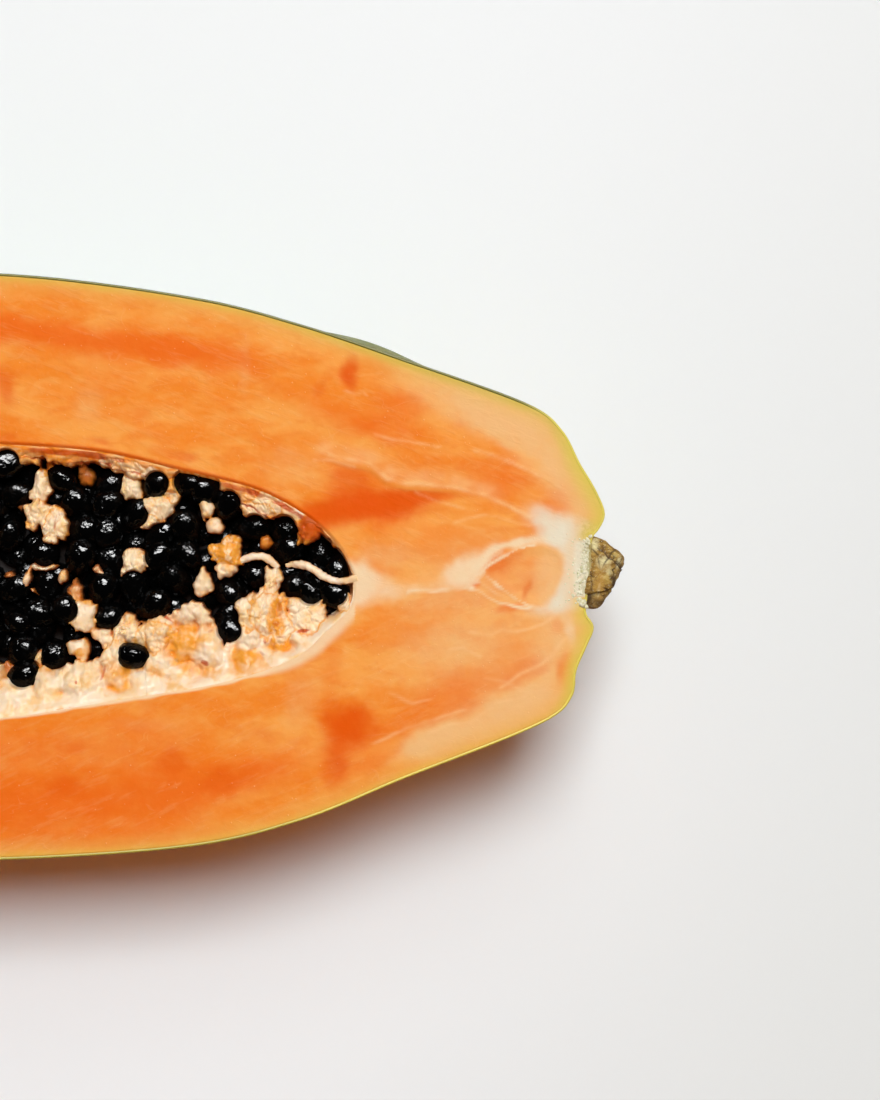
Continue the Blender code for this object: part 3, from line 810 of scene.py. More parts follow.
# The oval of tissue by the stem, and the fibres of the cut face: (width, strength, points).
OVAL = (
    (8.1, -0.8), (8.0, 1.4), (9.0, 3.4), (10.8, 4.8), (14.4, 4.7), (17.0, 4.3), (18.8, 3.3), (21.6, 1.4),
    (24.0, -0.1), (22.1, -2.0), (20.1, -3.7), (17.0, -6.0), (14.7, -6.9), (12.4, -6.3), (10.2, -4.8),
    (8.1, -0.8),
)
CREAM_BANDS = (
    (1.0, 0.85, ((8.0, 5.9), (11.5, 5.9), (14.8, 6.0), (18.0, 5.5))),
    (0.75, 0.85, ((17.0, 5.7), (20.0, 5.0), (22.4, 3.9), (24.2, 2.6), (25.6, 0.8))),
    (1.2, 0.6, ((22.0, 4.4), (24.6, 2.4), (26.4, 0.8), (27.6, -0.4))),
)
CREAM_FIBRES = (
    (0.32, 0.85, ((39.4, -4.5), (36.0, -4.3), (33.0, -4.0), (28.0, -3.7), (25.5, -4.0))),
    (1.3, 0.30, ((38.0, -3.4), (33.0, -3.0), (28.0, -2.4))),
    (0.36, 1.00, ((26.9, -3.4), (24.2, -4.7), (20.6, -6.7), (17.0, -7.5), (13.0, -7.7))),
    (0.42, 0.90, ((23.4, -1.5), (21.3, -3.1), (18.6, -5.3), (15.2, -7.0), (12.0, -7.3))),
    (0.40, 0.60, ((25.6, -2.2), (23.4, -3.4), (20.6, -5.2))),
    (0.42, 0.90, ((25.2, -1.0), (23.6, 0.5), (21.6, 1.8), (19.2, 3.3), (17.0, 4.3), (14.4, 4.9))),
    (0.40, 0.55, ((26.4, -1.8), (25.6, -0.4), (24.2, 1.2), (22.4, 2.5), (20.4, 3.6))),
    (0.40, 0.50, ((27.4, -2.8), (25.8, -2.4), (24.4, -1.2), (23.8, -0.4))),
    (0.8, 0.8, ((57.5, 8.2), (54.5, 5.6), (51.5, 2.0), (49.6, -1.0))),
)
PALE_FIBRES = (
    (0.45, 0.75, ((55.0, 23.0), (47.0, 21.2), (43.6, 18.4), (40.0, 17.4), (30.5, 16.7), (23.5, 14.8),
                  (15.0, 10.6))),
    (1.7, 0.45, ((56.0, 24.2), (47.0, 22.2), (42.2, 19.2), (30.5, 17.9), (22.0, 15.4))),
    (0.40, 0.55, ((26.0, 24.0), (22.0, 22.7), (18.5, 21.2), (14.5, 19.7), (10.0, 17.5), (7.0, 15.0))),
    (1.4, 0.25, ((19.0, 23.4), (11.0, 19.4), (6.0, 16.0))),
    (0.35, 0.45, ((58.0, 21.8), (54.0, 21.8), (50.0, 20.6))),
    (0.3, 0.45, ((30.0, 9.6), (24.0, 11.0), (19.0, 10.0), (15.0, 8.8))),
    (0.3, 0.45, ((38.0, 15.6), (33.0, 13.4), (28.0, 12.2))),
    (0.3, 0.45, ((46.0, 27.0), (38.0, 25.4), (33.0, 24.6))),
    (0.3, 0.40, ((52.0, 35.8), (49.5, 35.0), (48.6, 36.0), (47.6, 35.0))),
    (0.35, 0.6, ((17.5, -12.3), (14.7, -11.6), (12.6, -10.8), (11.0, -9.8), (9.4, -8.8))),
    (0.4, 0.45, ((27.0, -12.4), (23.0, -13.2), (20.8, -12.2), (17.5, -12.4))),
    (0.4, 0.55, ((8.2, -13.8), (10.5, -16.8), (13.8, -19.4), (17.0, -20.9), (21.0, -23.4))),
    (0.35, 0.5, ((46.0, -34.6), (40.0, -31.8), (34.0, -29.8), (28.0, -27.8))),
    (0.35, 0.45, ((31.0, -15.8), (28.6, -15.6), (25.0, -17.6))),
    (0.35, 0.5, ((35.0, -32.4), (31.0, -31.0), (27.0, -30.4), (22.0, -27.0), (16.0, -25.4))),
    (0.3, 0.4, ((24.0, -21.6), (20.0, -22.4), (15.6, -24.6), (12.0, -24.0))),
    (0.35, 0.4, ((43.0, -24.6), (38.6, -26.6), (35.0, -26.0))),
)
# The line that the fold stops at on the far side.
FOLD = (
    (15.0, 9.8), (23.5, 14.0), (30.5, 15.9), (40.0, 16.6), (43.6, 17.6), (47.0, 20.4), (55.0, 22.2),
    (62.0, 25.0),
)


def soft_patches(u, v, patches):
    """How strongly soft oval patches cover each point, 0 to 1."""
    covers = (strength * fade(np.hypot(*in_oval(u, v, oval)), 0.25, 1.45) for *oval, strength in patches)
    return together(*covers)


def distance_to(u, v, path):
    """Distance of each point to a line of points."""
    nearest = np.full(u.shape, 1e9)
    for (au, av), (bu, bv) in zip(path, path[1:]):
        du, dv = bu - au, bv - av
        share = np.clip(((u - au) * du + (v - av) * dv) / (du * du + dv * dv), 0, 1)
        nearest = np.minimum(nearest, np.hypot(u - au - share * du, v - av - share * dv))
    return nearest


def distance_to_ring(u, v, ring):
    """Distance of each point of a grid to a closed ring of points, by the ring's nearest point."""
    shares = np.linspace(0, 1, 5, endpoint=False)[:, None]
    ring = np.concatenate([a + (b - a) * shares for a, b in zip(ring, np.roll(ring, -1, axis=0))])
    tree = KDTree(len(ring))
    for i, (ru, rv) in enumerate(ring.tolist()):
        tree.insert((ru, rv, 0.0), i)
    tree.balance()
    nearest = [tree.find((pu, pv, 0.0))[2] for pu, pv in zip(u.ravel().tolist(), v.ravel().tolist())]
    return np.array(nearest).reshape(u.shape)


def bands(u, v, lines):
    """How strongly lines of a given half width and strength cover each point, 0 to 1."""
    covers = (
        strength * np.exp(-((distance_to(u, v, path) / width) ** 2)) for width, strength, path in lines
    )
    return together(*covers)


def inside(u, v, loop):
    """1 for points inside a closed line of points, 0 outside."""
    crossings = np.zeros(u.shape, int)
    for (au, av), (bu, bv) in zip(loop, loop[1:]):
        spans = (av > v) != (bv > v)
        meets = au + (v - av) / ((bv - av) or 1e-9) * (bu - au)
        crossings += spans & (u < meets)
    return (crossings % 2).astype(float)


def cut_marks(u, v, to_peel, to_hollow):
    """The cut face's colour shares and its relief (depth below the cut) at points (u, v)."""
    flat = points_at(u, v, 0 * u)
    wu = u + 1.3 * ripple(flat, 5.0) + 0.5 * ripple(flat, 1.6, 9.0)
    wv = v + 1.0 * ripple(flat, 5.0, 31.0) + 0.4 * ripple(flat, 1.6, 17.0)
    below_fold = read_off(u, FOLD) - v
    by_fold = smoothstep(u, 24.0, 34.0) * fade(u, 50.0, 58.0)
    shade = smoothstep(below_fold, -0.1, 0.9) * by_fold + (1 - by_fold)
    oval, to_oval = inside(u, v, OVAL), distance_to(u, v, OVAL)

    # Deeper orange: wet patches, and painted shade of the fold below its line.
    deep = together(soft_patches(wu, wv, FOLD_SHADE_PATCHES) * shade, soft_patches(wu, wv, DEEP_PATCHES))

    # Redder along the far rim of the hollow, on the near side and in a belt along either side's peel.
    by_far_rim = 0.9 * fade(to_hollow, 0.3, 1.3) * (v > 0) * smoothstep(u, 56, 60)
    from_far_belt = (wv - read_off(u, FAR_BELT)) / 3.6
    from_near_belt = (wv + read_off(u, NEAR_BELT)) / 4.4
    red = together(
        np.maximum(soft_patches(wu, wv, RED_PATCHES), by_far_rim),
        0.6 * smoothstep(-wv, 22, 36) * smoothstep(u, 66, 90),
        0.95 * np.exp(-(from_far_belt**2)) * smoothstep(u, 60, 84),
        0.98 * np.exp(-(from_near_belt**2)) * smoothstep(u, 45, 75),
    )

    pale_rim = fade(to_peel, 4.0, 13.0) * fade(u, 22, 55) * (0.85 + 0.3 * smoothstep(v, 0, 20))
    towards_stem = 0.45 * fade(wu, 26, 60) * fade(np.abs(wv + 10), 10, 26)
    pale = together(soft_patches(wu, wv, PALE_PATCHES), 0.75 * pale_rim, towards_stem)

    fu, fv = mix(u, wu, 0.35), mix(v, wv, 0.35)
    broken = 0.45 + 0.55 * smoothstep(ripple(flat, 3.2, 27.0), -0.35, 0.25)
    fibres = bands(fu, fv, PALE_FIBRES) * broken
    cream_fibres = bands(fu, fv, CREAM_FIBRES)
    drawn = together(cream_fibres * broken, bands(fu, fv, CREAM_BANDS))
    cream = together(soft_patches(wu, wv, CREAM_PATCHES), drawn * (1 - 0.8 * oval))
    near_rim = (v < -1) & (u > 50)
    rim_width = 0.9 + 2.2 * fade(u, 55, 74) + 0.4 * ripple(flat, 4.0, 7.0)
    cream = np.maximum(cream, fade(to_hollow, 0.4 * rim_width, 1.2 * rim_width) * near_rim * 0.8)

    core = soft_patches(wu, wv, CORE_PATCHES) * (1 - oval * smoothstep(to_oval, 0.0, 1.8))
    core *= fade(np.abs(v - 0.5 - 0.3 * u), 7.0 + 0.3 * u, 9.5 + 0.5 * u)

    relief = 0.10 + 0.10 * ripple(flat, 14.0, 3.0) + 0.05 * ripple(flat, 4.0, 5.0) + 0.018 * ripple(flat, 1.2)
    relief += 0.20 * by_fold * smoothstep(below_fold, -0.2, 1.2) * fade(below_fold, 4.0, 11.0)
    relief += 0.12 * deep + 0.22 * oval * smoothstep(to_oval, 0.0, 2.0) - 0.10 * cream_fibres
    relief -= 0.07 * fibres
    relief += core * 0.14 * fade(u, 3.4, 6.0) * (1 - grains(flat, 1.2))
    edge_drop = np.where(v > 0, 0.5, 0.3)
    relief += 0.22 * fade(to_peel, 0.0, 0.6) + edge_drop * fade(to_hollow, 0.0, 0.8) ** 2
    shares = {"deep": deep, "red": red, "pale": pale, "fibres": fibres, "cream": cream, "core": core}
    return shares, np.maximum(relief, 0.02)


def ring_of(far, near):
    """A closed ring: the far side from stem to blossom, then the near side back."""
    return np.concatenate([far, near[::-1]])


def hollow_rows(shares):
    """Far and near points (u, v) and depths of the seed hollow at these shares of its length."""
    at = evenly((HOLLOW_FAR_LINE + HOLLOW_NEAR_LINE) / 2, shares)
    depth = np.interp(at, np.arange(len(HOLLOW_DEPTH_LINE)), HOLLOW_DEPTH_LINE)
    return resample(HOLLOW_FAR_LINE, at), resample(HOLLOW_NEAR_LINE, at), depth


def hollow_wall(far, near, depth, columns, inset=0.0):
    """The hollow's wall as a grid of points (u, v, depth), from the far rim to the near rim."""
    angle = np.linspace(0, math.pi, columns + 1)
    half = (far - near)[:, None] / 2
    middle = (far + near)[:, None] / 2
    shrink = np.maximum(0.0, 1 - inset / np.maximum(np.abs(half[..., 1]), 1e-6))
    across = middle + half * (np.cos(angle) * shrink)[..., None]
    down = depth[:, None] * shrink * np.sin(angle) ** HOLLOW_ROUNDNESS
    return np.concatenate([across, down[..., None]], axis=-1)


def flesh():
    """The flesh: the cut face in fine relief, and the walls behind the peel and the pith."""
    rows, rings, back, wall = 300, 140, 12, 8
    points, out = fruit_surface(rows, back, crowding=0.6)
    settle = smoothstep(points[..., 2], 0.0, 3.0)
    behind = points - out * (FLESH_INSET + 0.22 * settle)[..., None]
    by_notch = fade(np.abs(points[..., 1]), 9.0, 15.0) * fade(points[..., 0], 12.0, 18.0)
    behind[..., 0] += BEHIND_NOTCH * by_notch * settle
    behind[:, [0, -1], 2] = 0.0
    outer = ring_of(behind[:, 0, :2], behind[:, -1, :2])
    share = np.linspace(0, 1, rows + 1)
    turn = 2 * math.pi * share
    far, near, depth = hollow_rows(share - 0.72 * np.sin(turn) / (2 * math.pi))
    inner = ring_of(far, near)

    across = closer_at_ends(rings, 0.4)
    face = inner + (outer - inner) * across[:, None, None]
    u, v = face[..., 0], face[..., 1]
    width = np.linalg.norm(outer - inner, axis=1)
    to_peel = np.minimum(width * (1 - across[:, None]), distance_to_ring(u, v, outer))
    to_hollow = np.minimum(width * across[:, None], distance_to_ring(u, v, inner))
    shares, relief = cut_marks(u, v, to_peel, to_hollow)
    top = np.concatenate([face, relief[..., None]], axis=-1)

    behind[:, 0] = top[-1, : rows + 1]
    behind[:, -1] = top[-1, rows + 1 :][::-1]
    bowl = hollow_wall(far, near, depth, wall)
    bowl[:, 0] = top[0, : rows + 1]
    bowl[:, -1] = top[0, rows + 1 :][::-1]

    around = 2 * (rows + 1)
    first = np.arange(rings) * around
    last = first + around - 1
    back_first = u.size
    bowl_first = back_first + behind[..., 0].size
    faces = [
        grid_quads(rings, around - 1),
        np.stack([last, first, first + around, last + around], axis=1),
        grid_quads(rows, back, back_first),
        grid_quads(rows, wall, bowl_first),
    ]
    everything = np.concatenate([top.reshape(-1, 3), behind.reshape(-1, 3), bowl.reshape(-1, 3)])
    hidden = len(everything) - back_first
    shares["greening"] = smoothstep(v, -8, 24) * (1 - 0.6 * smoothstep(u, 30, 90))
    shares["yellowing"] = fade(u, 6.0, 12.0)
    shares["olive"] = olive_rim(u, v)
    rind = {"rind": to_peel + BEYOND_RIM * by_stub(u, v)}
    shares = {**then_hidden(shares, hidden), **then_hidden(rind, hidden, BEYOND_RIM)}
    piece = new_piece("flesh_cut", in_scene(everything), faces, flesh_finish(), shares)
    dress(piece, "flesh")


# ---------------------------------------------------------------------------------------------------
# Pith and seeds.

# Lumps of pith among the seeds: (u, v, half length, half width, turn, top depth, stain, grain).
LUMPS = (
    (113.6, 16.4, 2.1, 3.9, 10, 3.6, 0.25, 1.0), (114.0, 11.2, 3.3, 3.1, 0, 3.2, 0.05, 1.0),
    (110.4, 8.8, 2.7, 3.2, 0, 3.3, 0.15, 1.0), (111.4, 6.2, 1.7, 1.3, 0, 3.8, 0.3, 1.0),
    (116.2, 22.6, 2.6, 1.6, 0, 1.6, 0.7, 0.4), (107.6, 22.2, 3.6, 1.3, 4, 1.5, 0.7, 0.4),
    (104.2, 18.6, 1.8, 2.2, 0, 6.0, 0.8, 0.3), (98.4, 21.0, 3.4, 1.4, 8, 2.0, 0.3, 1.0),
    (95.4, 16.6, 2.7, 2.7, 10, 3.4, 0.0, 0.6), (89.8, 12.6, 3.7, 2.9, -35, 3.4, 0.25, 1.0),
    (87.0, 15.6, 1.6, 2.2, -20, 3.4, 0.3, 1.0), (91.6, 9.6, 2.0, 1.6, 0, 3.8, 0.1, 0.8),
    (80.0, 12.2, 1.6, 2.0, 0, 3.2, 0.0, 0.4), (78.2, 8.8, 2.0, 1.7, 30, 3.8, 0.35, 0.5),
    (75.8, 3.6, 3.3, 3.0, 0, 2.8, 1.0, 1.0), (76.2, -0.2, 2.4, 1.8, 0, 3.4, 0.3, 0.8),
    (94.6, 1.4, 2.7, 3.2, 45, 3.2, 0.15, 0.9), (106.6, -4.6, 1.7, 2.8, 0, 5.0, 0.55, 0.8),
    (105.1, -9.4, 3.2, 3.1, 0, 3.0, 0.12, 0.3), (101.4, -0.2, 2.0, 1.1, 20, 5.0, 0.3, 0.6),
    (105.8, -15.8, 2.6, 2.2, 20, 3.6, 0.2, 0.3), (113.9, -18.0, 1.0, 1.8, 0, 4.6, 0.1, 0.8),
    (96.4, -11.8, 3.0, 2.8, 0, 3.4, 0.25, 1.0), (101.0, -13.4, 2.4, 2.0, 30, 4.0, 0.3, 0.8),
    (119.9, -1.1, 1.4, 0.8, 0, 5.6, 0.4, 0.6), (80.8, -2.8, 2.0, 2.8, 10, 3.4, 0.2, 0.6),
    (90.6, -13.0, 3.8, 3.0, -20, 3.0, 0.3, 1.0), (70.2, 2.7, 2.5, 0.7, 5, 4.0, 0.05, 0.3),
    (66.8, -2.4, 1.9, 3.4, 10, 3.2, 0.05, 0.7), (71.6, -8.4, 3.0, 3.6, 30, 2.5, 0.0, 0.7),
    (67.6, -8.8, 3.6, 4.6, 10, 2.3, 0.12, 0.9), (64.8, -11.6, 2.6, 3.6, 0, 2.2, 0.2, 0.8),
    (59.8, -9.0, 4.2, 3.4, 12, 2.2, 0.0, 0.6), (52.2, -6.4, 1.2, 2.4, 0, 0.6, 0.0, 0.2),
    (68.2, 5.4, 1.5, 1.6, 0, 5.4, 0.8, 0.2), (58.6, 8.6, 3.6, 2.6, -50, 0.8, 1.0, 0.2),
    (61.0, 6.6, 1.0, 1.6, 10, 3.0, 0.8, 0.3), (117.6, 13.0, 1.0, 1.4, 0, 6.5, 0.5, 0.5),
    (94.4, 20.0, 3.0, 1.7, 10, 1.4, 0.2, 0.9), (90.6, 18.8, 2.6, 1.8, 14, 1.6, 0.15, 0.9),
    (87.0, 17.4, 1.6, 2.4, -20, 2.0, 0.75, 0.3), (100.8, 21.6, 0.9, 0.8, 0, 1.8, 0.0, 0.4),
    (111.6, 20.8, 1.2, 1.8, 10, 5.4, 0.75, 0.4), (105.2, 20.4, 1.2, 1.4, 0, 5.8, 0.7, 0.3),
    (72.2, 15.0, 3.2, 1.7, 16, 1.7, 0.45, 0.8), (67.4, 13.4, 3.6, 2.2, 20, 1.4, 0.05, 0.7),
    (62.6, 11.4, 2.6, 1.4, 24, 1.3, 0.0, 0.4), (70.0, 11.8, 3.6, 1.9, 8, 2.2, 0.3, 0.8),
    (74.6, 16.6, 1.6, 1.8, 30, 2.2, 0.7, 0.5), (71.0, 8.2, 1.5, 1.6, 0, 6.0, 0.6, 0.5),
    (113.4, -4.4, 2.2, 1.0, 12, 4.2, 0.5, 0.6), (109.2, -1.4, 1.1, 1.6, 20, 4.4, 0.35, 0.7),
    (112.6, 0.6, 3.0, 0.9, 0, 4.0, 0.2, 0.7), (116.4, -1.8, 0.9, 2.2, 15, 4.6, 0.4, 0.6),
)
# Lumps in the far tip of the hollow, over the last seeds.
TIP_LUMPS = (
    (216.4, -2.0, 3.4, 2.6, 10, 3.2, 0.1, 0.9), (211.0, -6.4, 3.0, 2.6, 0, 3.4, 0.3, 0.8),
    (210.6, 5.6, 3.2, 2.2, 40, 3.2, 0.1, 0.9), (219.6, -1.4, 2.4, 1.8, 0, 2.4, 0.0, 0.6),
    (213.6, 1.6, 2.4, 2.2, 20, 4.0, 0.4, 0.6), (205.4, 9.4, 2.6, 1.8, 50, 3.0, 0.2, 0.6),
)
# Flaps that the bench is made of: (u, v, half length, half width, turn, height, stain, grain).
FLAPS = (
    (69.6, -8.8, 4.8, 7.6, 8, 1.5, 0.02, 0.35), (65.2, -12.6, 2.6, 4.4, 10, 0.9, 0.75, 0.3),
    (60.0, -8.8, 4.2, 3.8, 10, 1.6, 0.0, 0.7), (60.4, -14.2, 6.0, 2.2, 35, 1.0, 0.0, 0.15),
    (71.6, -18.0, 4.4, 2.6, 8, 0.8, 0.55, 0.1), (78.6, -16.2, 4.2, 5.2, -35, 1.2, 0.0, 0.1),
    (84.2, -14.6, 3.4, 4.6, 10, 0.7, 0.5, 0.25), (82.6, -7.2, 5.4, 4.4, -10, 1.4, 0.22, 1.0),
    (90.2, -11.6, 4.6, 3.8, -40, 1.3, 0.08, 0.6), (96.2, -11.2, 3.8, 3.6, 0, 1.3, 0.18, 0.8),
    (99.4, -17.0, 2.8, 4.6, 12, 1.1, 0.1, 0.8), (98.4, -21.6, 3.4, 2.6, 0, 0.8, 0.5, 0.2),
    (89.6, -18.4, 3.6, 3.8, 0, 0.9, 0.2, 0.5), (85.6, -20.6, 4.2, 2.0, -4, 0.8, 0.1, 0.15),
    (92.6, -22.2, 3.8, 2.2, 0, 1.0, 0.0, 0.15), (105.2, -22.6, 4.6, 5.2, 0, 1.5, 0.0, 0.6),
    (112.0, -24.0, 3.8, 3.8, 0, 1.0, 0.05, 0.3), (118.6, -25.6, 4.4, 3.8, 0, 1.3, 0.0, 0.3),
    (76.4, -20.6, 3.6, 1.8, 6, 0.7, 0.35, 0.1), (66.0, -17.6, 4.6, 1.8, 20, 0.8, 0.05, 0.1),
    (106.0, -27.6, 7.0, 2.0, 0, 0.7, 0.05, 0.1),
)
# Share of a red-brown line along the far rim, as (u, share).
FAR_LINE_SHARE = (
    (50, 0.3), (57, 0.5), (61, 0.95), (74, 0.8), (78, 0.25), (86, 0.15), (90, 0.45), (98, 0.55), (101, 1.0),
    (113, 1.0), (117, 0.3), (126, 0.4), (140, 0.9), (160, 0.3), (185, 0.8), (221, 0.3),
)
# Golden stains on the lining, and small red-brown sores, (u, v, half length, half width, turn, strength).
STAINS = (
    (72.0, -17.6, 3.6, 2.0, 5, 0.9), (84.6, -14.6, 5.0, 3.4, 5, 0.75), (98.6, -19.6, 2.0, 2.8, 0, 0.6),
    (97.4, -14.6, 2.4, 2.0, 0, 0.5), (66.4, -8.4, 1.2, 4.6, 12, 0.8), (65.4, -11.0, 1.8, 2.6, 15, 0.8),
    (83.0, -19.4, 4.6, 1.2, 5, 0.6), (88.0, -16.6, 3.4, 2.0, 10, 0.5), (105.6, -16.6, 1.6, 1.0, 0, 0.7),
    (76.0, -6.0, 1.0, 3.0, 10, 0.5), (91.0, -20.4, 2.2, 1.2, 0, 0.5), (72.0, -4.6, 2.4, 1.4, -20, 0.5),
)
SORES = (
    (80.4, -18.5, 1.0, 0.7, 0, 0.7), (60.4, -12.2, 1.7, 0.5, -8, 0.8), (68.1, -14.3, 0.5, 0.7, 0, 0.6),
    (66.0, -10.6, 1.0, 0.9, 0, 0.6), (100.7, -20.8, 0.5, 2.2, 22, 0.6), (88.2, -9.4, 0.4, 2.6, -50, 0.6),
    (74.0, -9.8, 0.5, 2.6, 10, 0.6), (105.9, -22.6, 0.4, 0.5, 0, 0.7), (64.9, -13.4, 1.3, 0.4, 0, 0.5),
    (58.8, 8.4, 3.8, 3.2, -50, 1.0), (86.0, -8.0, 0.4, 2.0, -30, 0.5), (110.4, 9.4, 0.4, 2.8, 10, 0.5),
    (78.8, -12.0, 0.5, 2.4, 30, 0.45),
)
# Seeds that lie on top of the heap, (u, v), with a depth where it isn't that of the heap.
TOP_SEEDS = (
    (120.0, 21.8), (118.6, 15.4), (109.4, 18.4), (99.6, 17.2), (106.2, 13.4), (100.2, 13.4), (94.4, 11.0),
    (90.0, 17.4), (84.2, 17.6), (79.6, 17.0), (75.6, 13.6), (84.4, 8.6), (105.6, 8.2), (100.4, 8.0),
    (64.2, 3.8), (64.4, 8.6), (70.8, -0.6), (75.8, -4.6), (84.4, 3.2), (86.6, -2.2), (91.0, -7.0),
    (101.2, -4.0), (99.8, -9.4), (112.6, -3.2), (114.2, -8.8), (94.5, -17.4, 4.5), (110.4, -17.6),
    (117.2, -21.4), (117.4, -16.4), (61.4, -2.6), (57.0, 3.6), (53.4, 0.6), (54.0, -4.8), (76.0, -9.6),
    (105.8, 2.6), (119.4, -4.0), (70.4, 8.8), (59.0, -4.6), (57.2, -2.4), (95.0, -2.6), (108.4, -8.2),
    (119.0, -10.0), (75.4, -12.2), (90.2, 2.6), (89.6, 7.0),
)
HEAP_LEVEL = 7.7  # depth of the middles of the seeds on top
BED_DEPTH = 12.5
SEED_HALF, NEST_REACH = 3.05, 4.2
SEEN_END = 127.0  # up to here the seeds on top are made finer
SCATTER_SEED, SCATTER_TRIES = 11, 6000
SCATTER_AREA = (50, -30), (221, 27)
# The scattered seeds of the upper and the lower layer: their spacing, how far they keep from the lumps,
# how far below HEAP_LEVEL they lie and how much that varies.
SEED_LAYERS = ((5.3, 1.5, 1.2, 0.8), (4.6, 0.9, 3.0, 0.5))
SLOPE_LEVEL = 5.2  # depth of the seeds on top where they climb towards the near rim
HOLLOW_STEM_TIP, HOLLOW_FAR_TIP = 50.2, 221.0  # u of the lining's two ends
# The lining's pieces: name, stretch as shares of the hollow's length, rows and columns.
PITH_STRETCHES = (
    ("pith_by_stem", (0.0, 0.26), 350, 240),
    ("pith_middle", (0.26, 0.5), 320, 260),
    ("pith_by_blossom", (0.5, 1.0), 320, 150),
)

# Widths of the near bench and of the far lip of pith, as (u, width).
BENCH = (
    (50.2, 0.2), (53.0, 1.0), (55.0, 2.2), (57.0, 4.0), (60.0, 6.2), (62.5, 8.0), (64.6, 10.0), (66.0, 17.0),
    (68.0, 17.0), (71.0, 16.0), (73.4, 13.0), (75.0, 8.0), (76.6, 7.0), (78.4, 12.5), (81.0, 16.5),
    (84.0, 16.5), (87.0, 15.6), (90.0, 14.6), (93.0, 13.8), (96.0, 13.8), (98.5, 12.8), (101.5, 9.2),
    (104.0, 9.0), (108.0, 8.4), (113.0, 9.4), (118.0, 9.8), (123.0, 11.0), (132.0, 11.0), (140.0, 8.0),
    (147.0, 12.0), (155.0, 8.5), (163.0, 11.0), (175.0, 8.0), (186.0, 10.0), (198.0, 7.0), (208.0, 6.0),
    (221.0, 0.2),
)
LIP = (
    (50.2, 0.2), (54.0, 1.0), (58.0, 1.6), (61.0, 3.2), (66.0, 4.6), (72.0, 4.2), (76.0, 2.2), (80.0, 1.3),
    (84.0, 1.0), (88.0, 2.4), (94.0, 3.2), (101.0, 2.2), (108.0, 3.0), (113.0, 2.8), (121.0, 2.0),
    (134.0, 1.6), (148.0, 3.2), (165.0, 1.8), (182.0, 2.8), (200.0, 1.8), (221.0, 0.2),
)


def lump_shape(u, v, oval, wander):
    """Distance from a lump's middle, as a share of its reach in that direction."""
    a, b = in_oval(u, v, oval)
    angle, first = np.arctan2(b, a), 1.7 * oval[0] + oval[1]
    corners = 1 + 0.09 * np.cos(3 * angle + first) + 0.06 * np.cos(5 * angle - 2 * first)
    return np.hypot(a, b) / corners + wander


def more_lumps(rng):
    """Lumps for the blossom half of the hollow, like those of the stem half."""
    made = []
    for u in np.arange(126.0, 212.0, 5.2):
        for v in np.arange(-12.0, 20.0, 6.4):
            if rng.random() < 0.62:
                size = rng.uniform(1.6, 3.4)
                at = u + rng.normal(0, 1.6), v + rng.normal(0, 1.6)
                halves = size, size * rng.uniform(0.6, 1.1)
                turn, top = rng.uniform(0, 180), rng.uniform(2.9, 4.8)
                made.append((*at, *halves, turn, top, rng.choice((0.0, 0.1, 0.3, 0.8)), 0.9))
    return tuple(made)


def more_flaps(rng):
    """Flaps for the blossom half of the bench."""
    made = []
    for u in np.arange(125.0, 214.0, 7.0):
        near_v = hollow_width(u)[1]
        for step in (3.0, 8.0):
            size = rng.uniform(3.0, 5.4)
            at = u + rng.normal(0, 1.5), near_v + step + rng.normal(0, 0.8)
            halves = size, size * rng.uniform(0.6, 1.1)
            turn, height = rng.uniform(0, 180), rng.uniform(0.7, 1.5)
            stain, grain = rng.choice((0.0, 0.1, 0.2, 0.5)), rng.uniform(0.1, 0.9)
            made.append((*at, *halves, turn, height, stain, grain))
    return tuple(made)


def flap_shapes(u, v, flaps, wander):
    """Height, stain and grain of flaps that lie side by side, blended a little where they meet."""
    blend = 0.22
    weight, stain, grain = (np.full(u.shape, math.exp(-1.2 / blend)) for _ in range(3))
    stain, grain = stain * 0.2, grain * 0.4
    for *oval, height, flap_stain, flap_grain in flaps:
        share = np.exp((height - 1.3 * lump_shape(u, v, oval, wander) ** 2) / blend)
        weight, stain, grain = weight + share, stain + share * flap_stain, grain + share * flap_grain
    return np.clip(blend * np.log(weight), -0.9, 2.0), stain / weight, grain / weight


def hollow_width(u):
    """v of the far and the near rim of the hollow at u."""
    far = np.interp(u, HOLLOW_FAR_LINE[:, 0], HOLLOW_FAR_LINE[:, 1])
    near = np.interp(u, HOLLOW_NEAR_LINE[:, 0], HOLLOW_NEAR_LINE[:, 1])
    return far, near


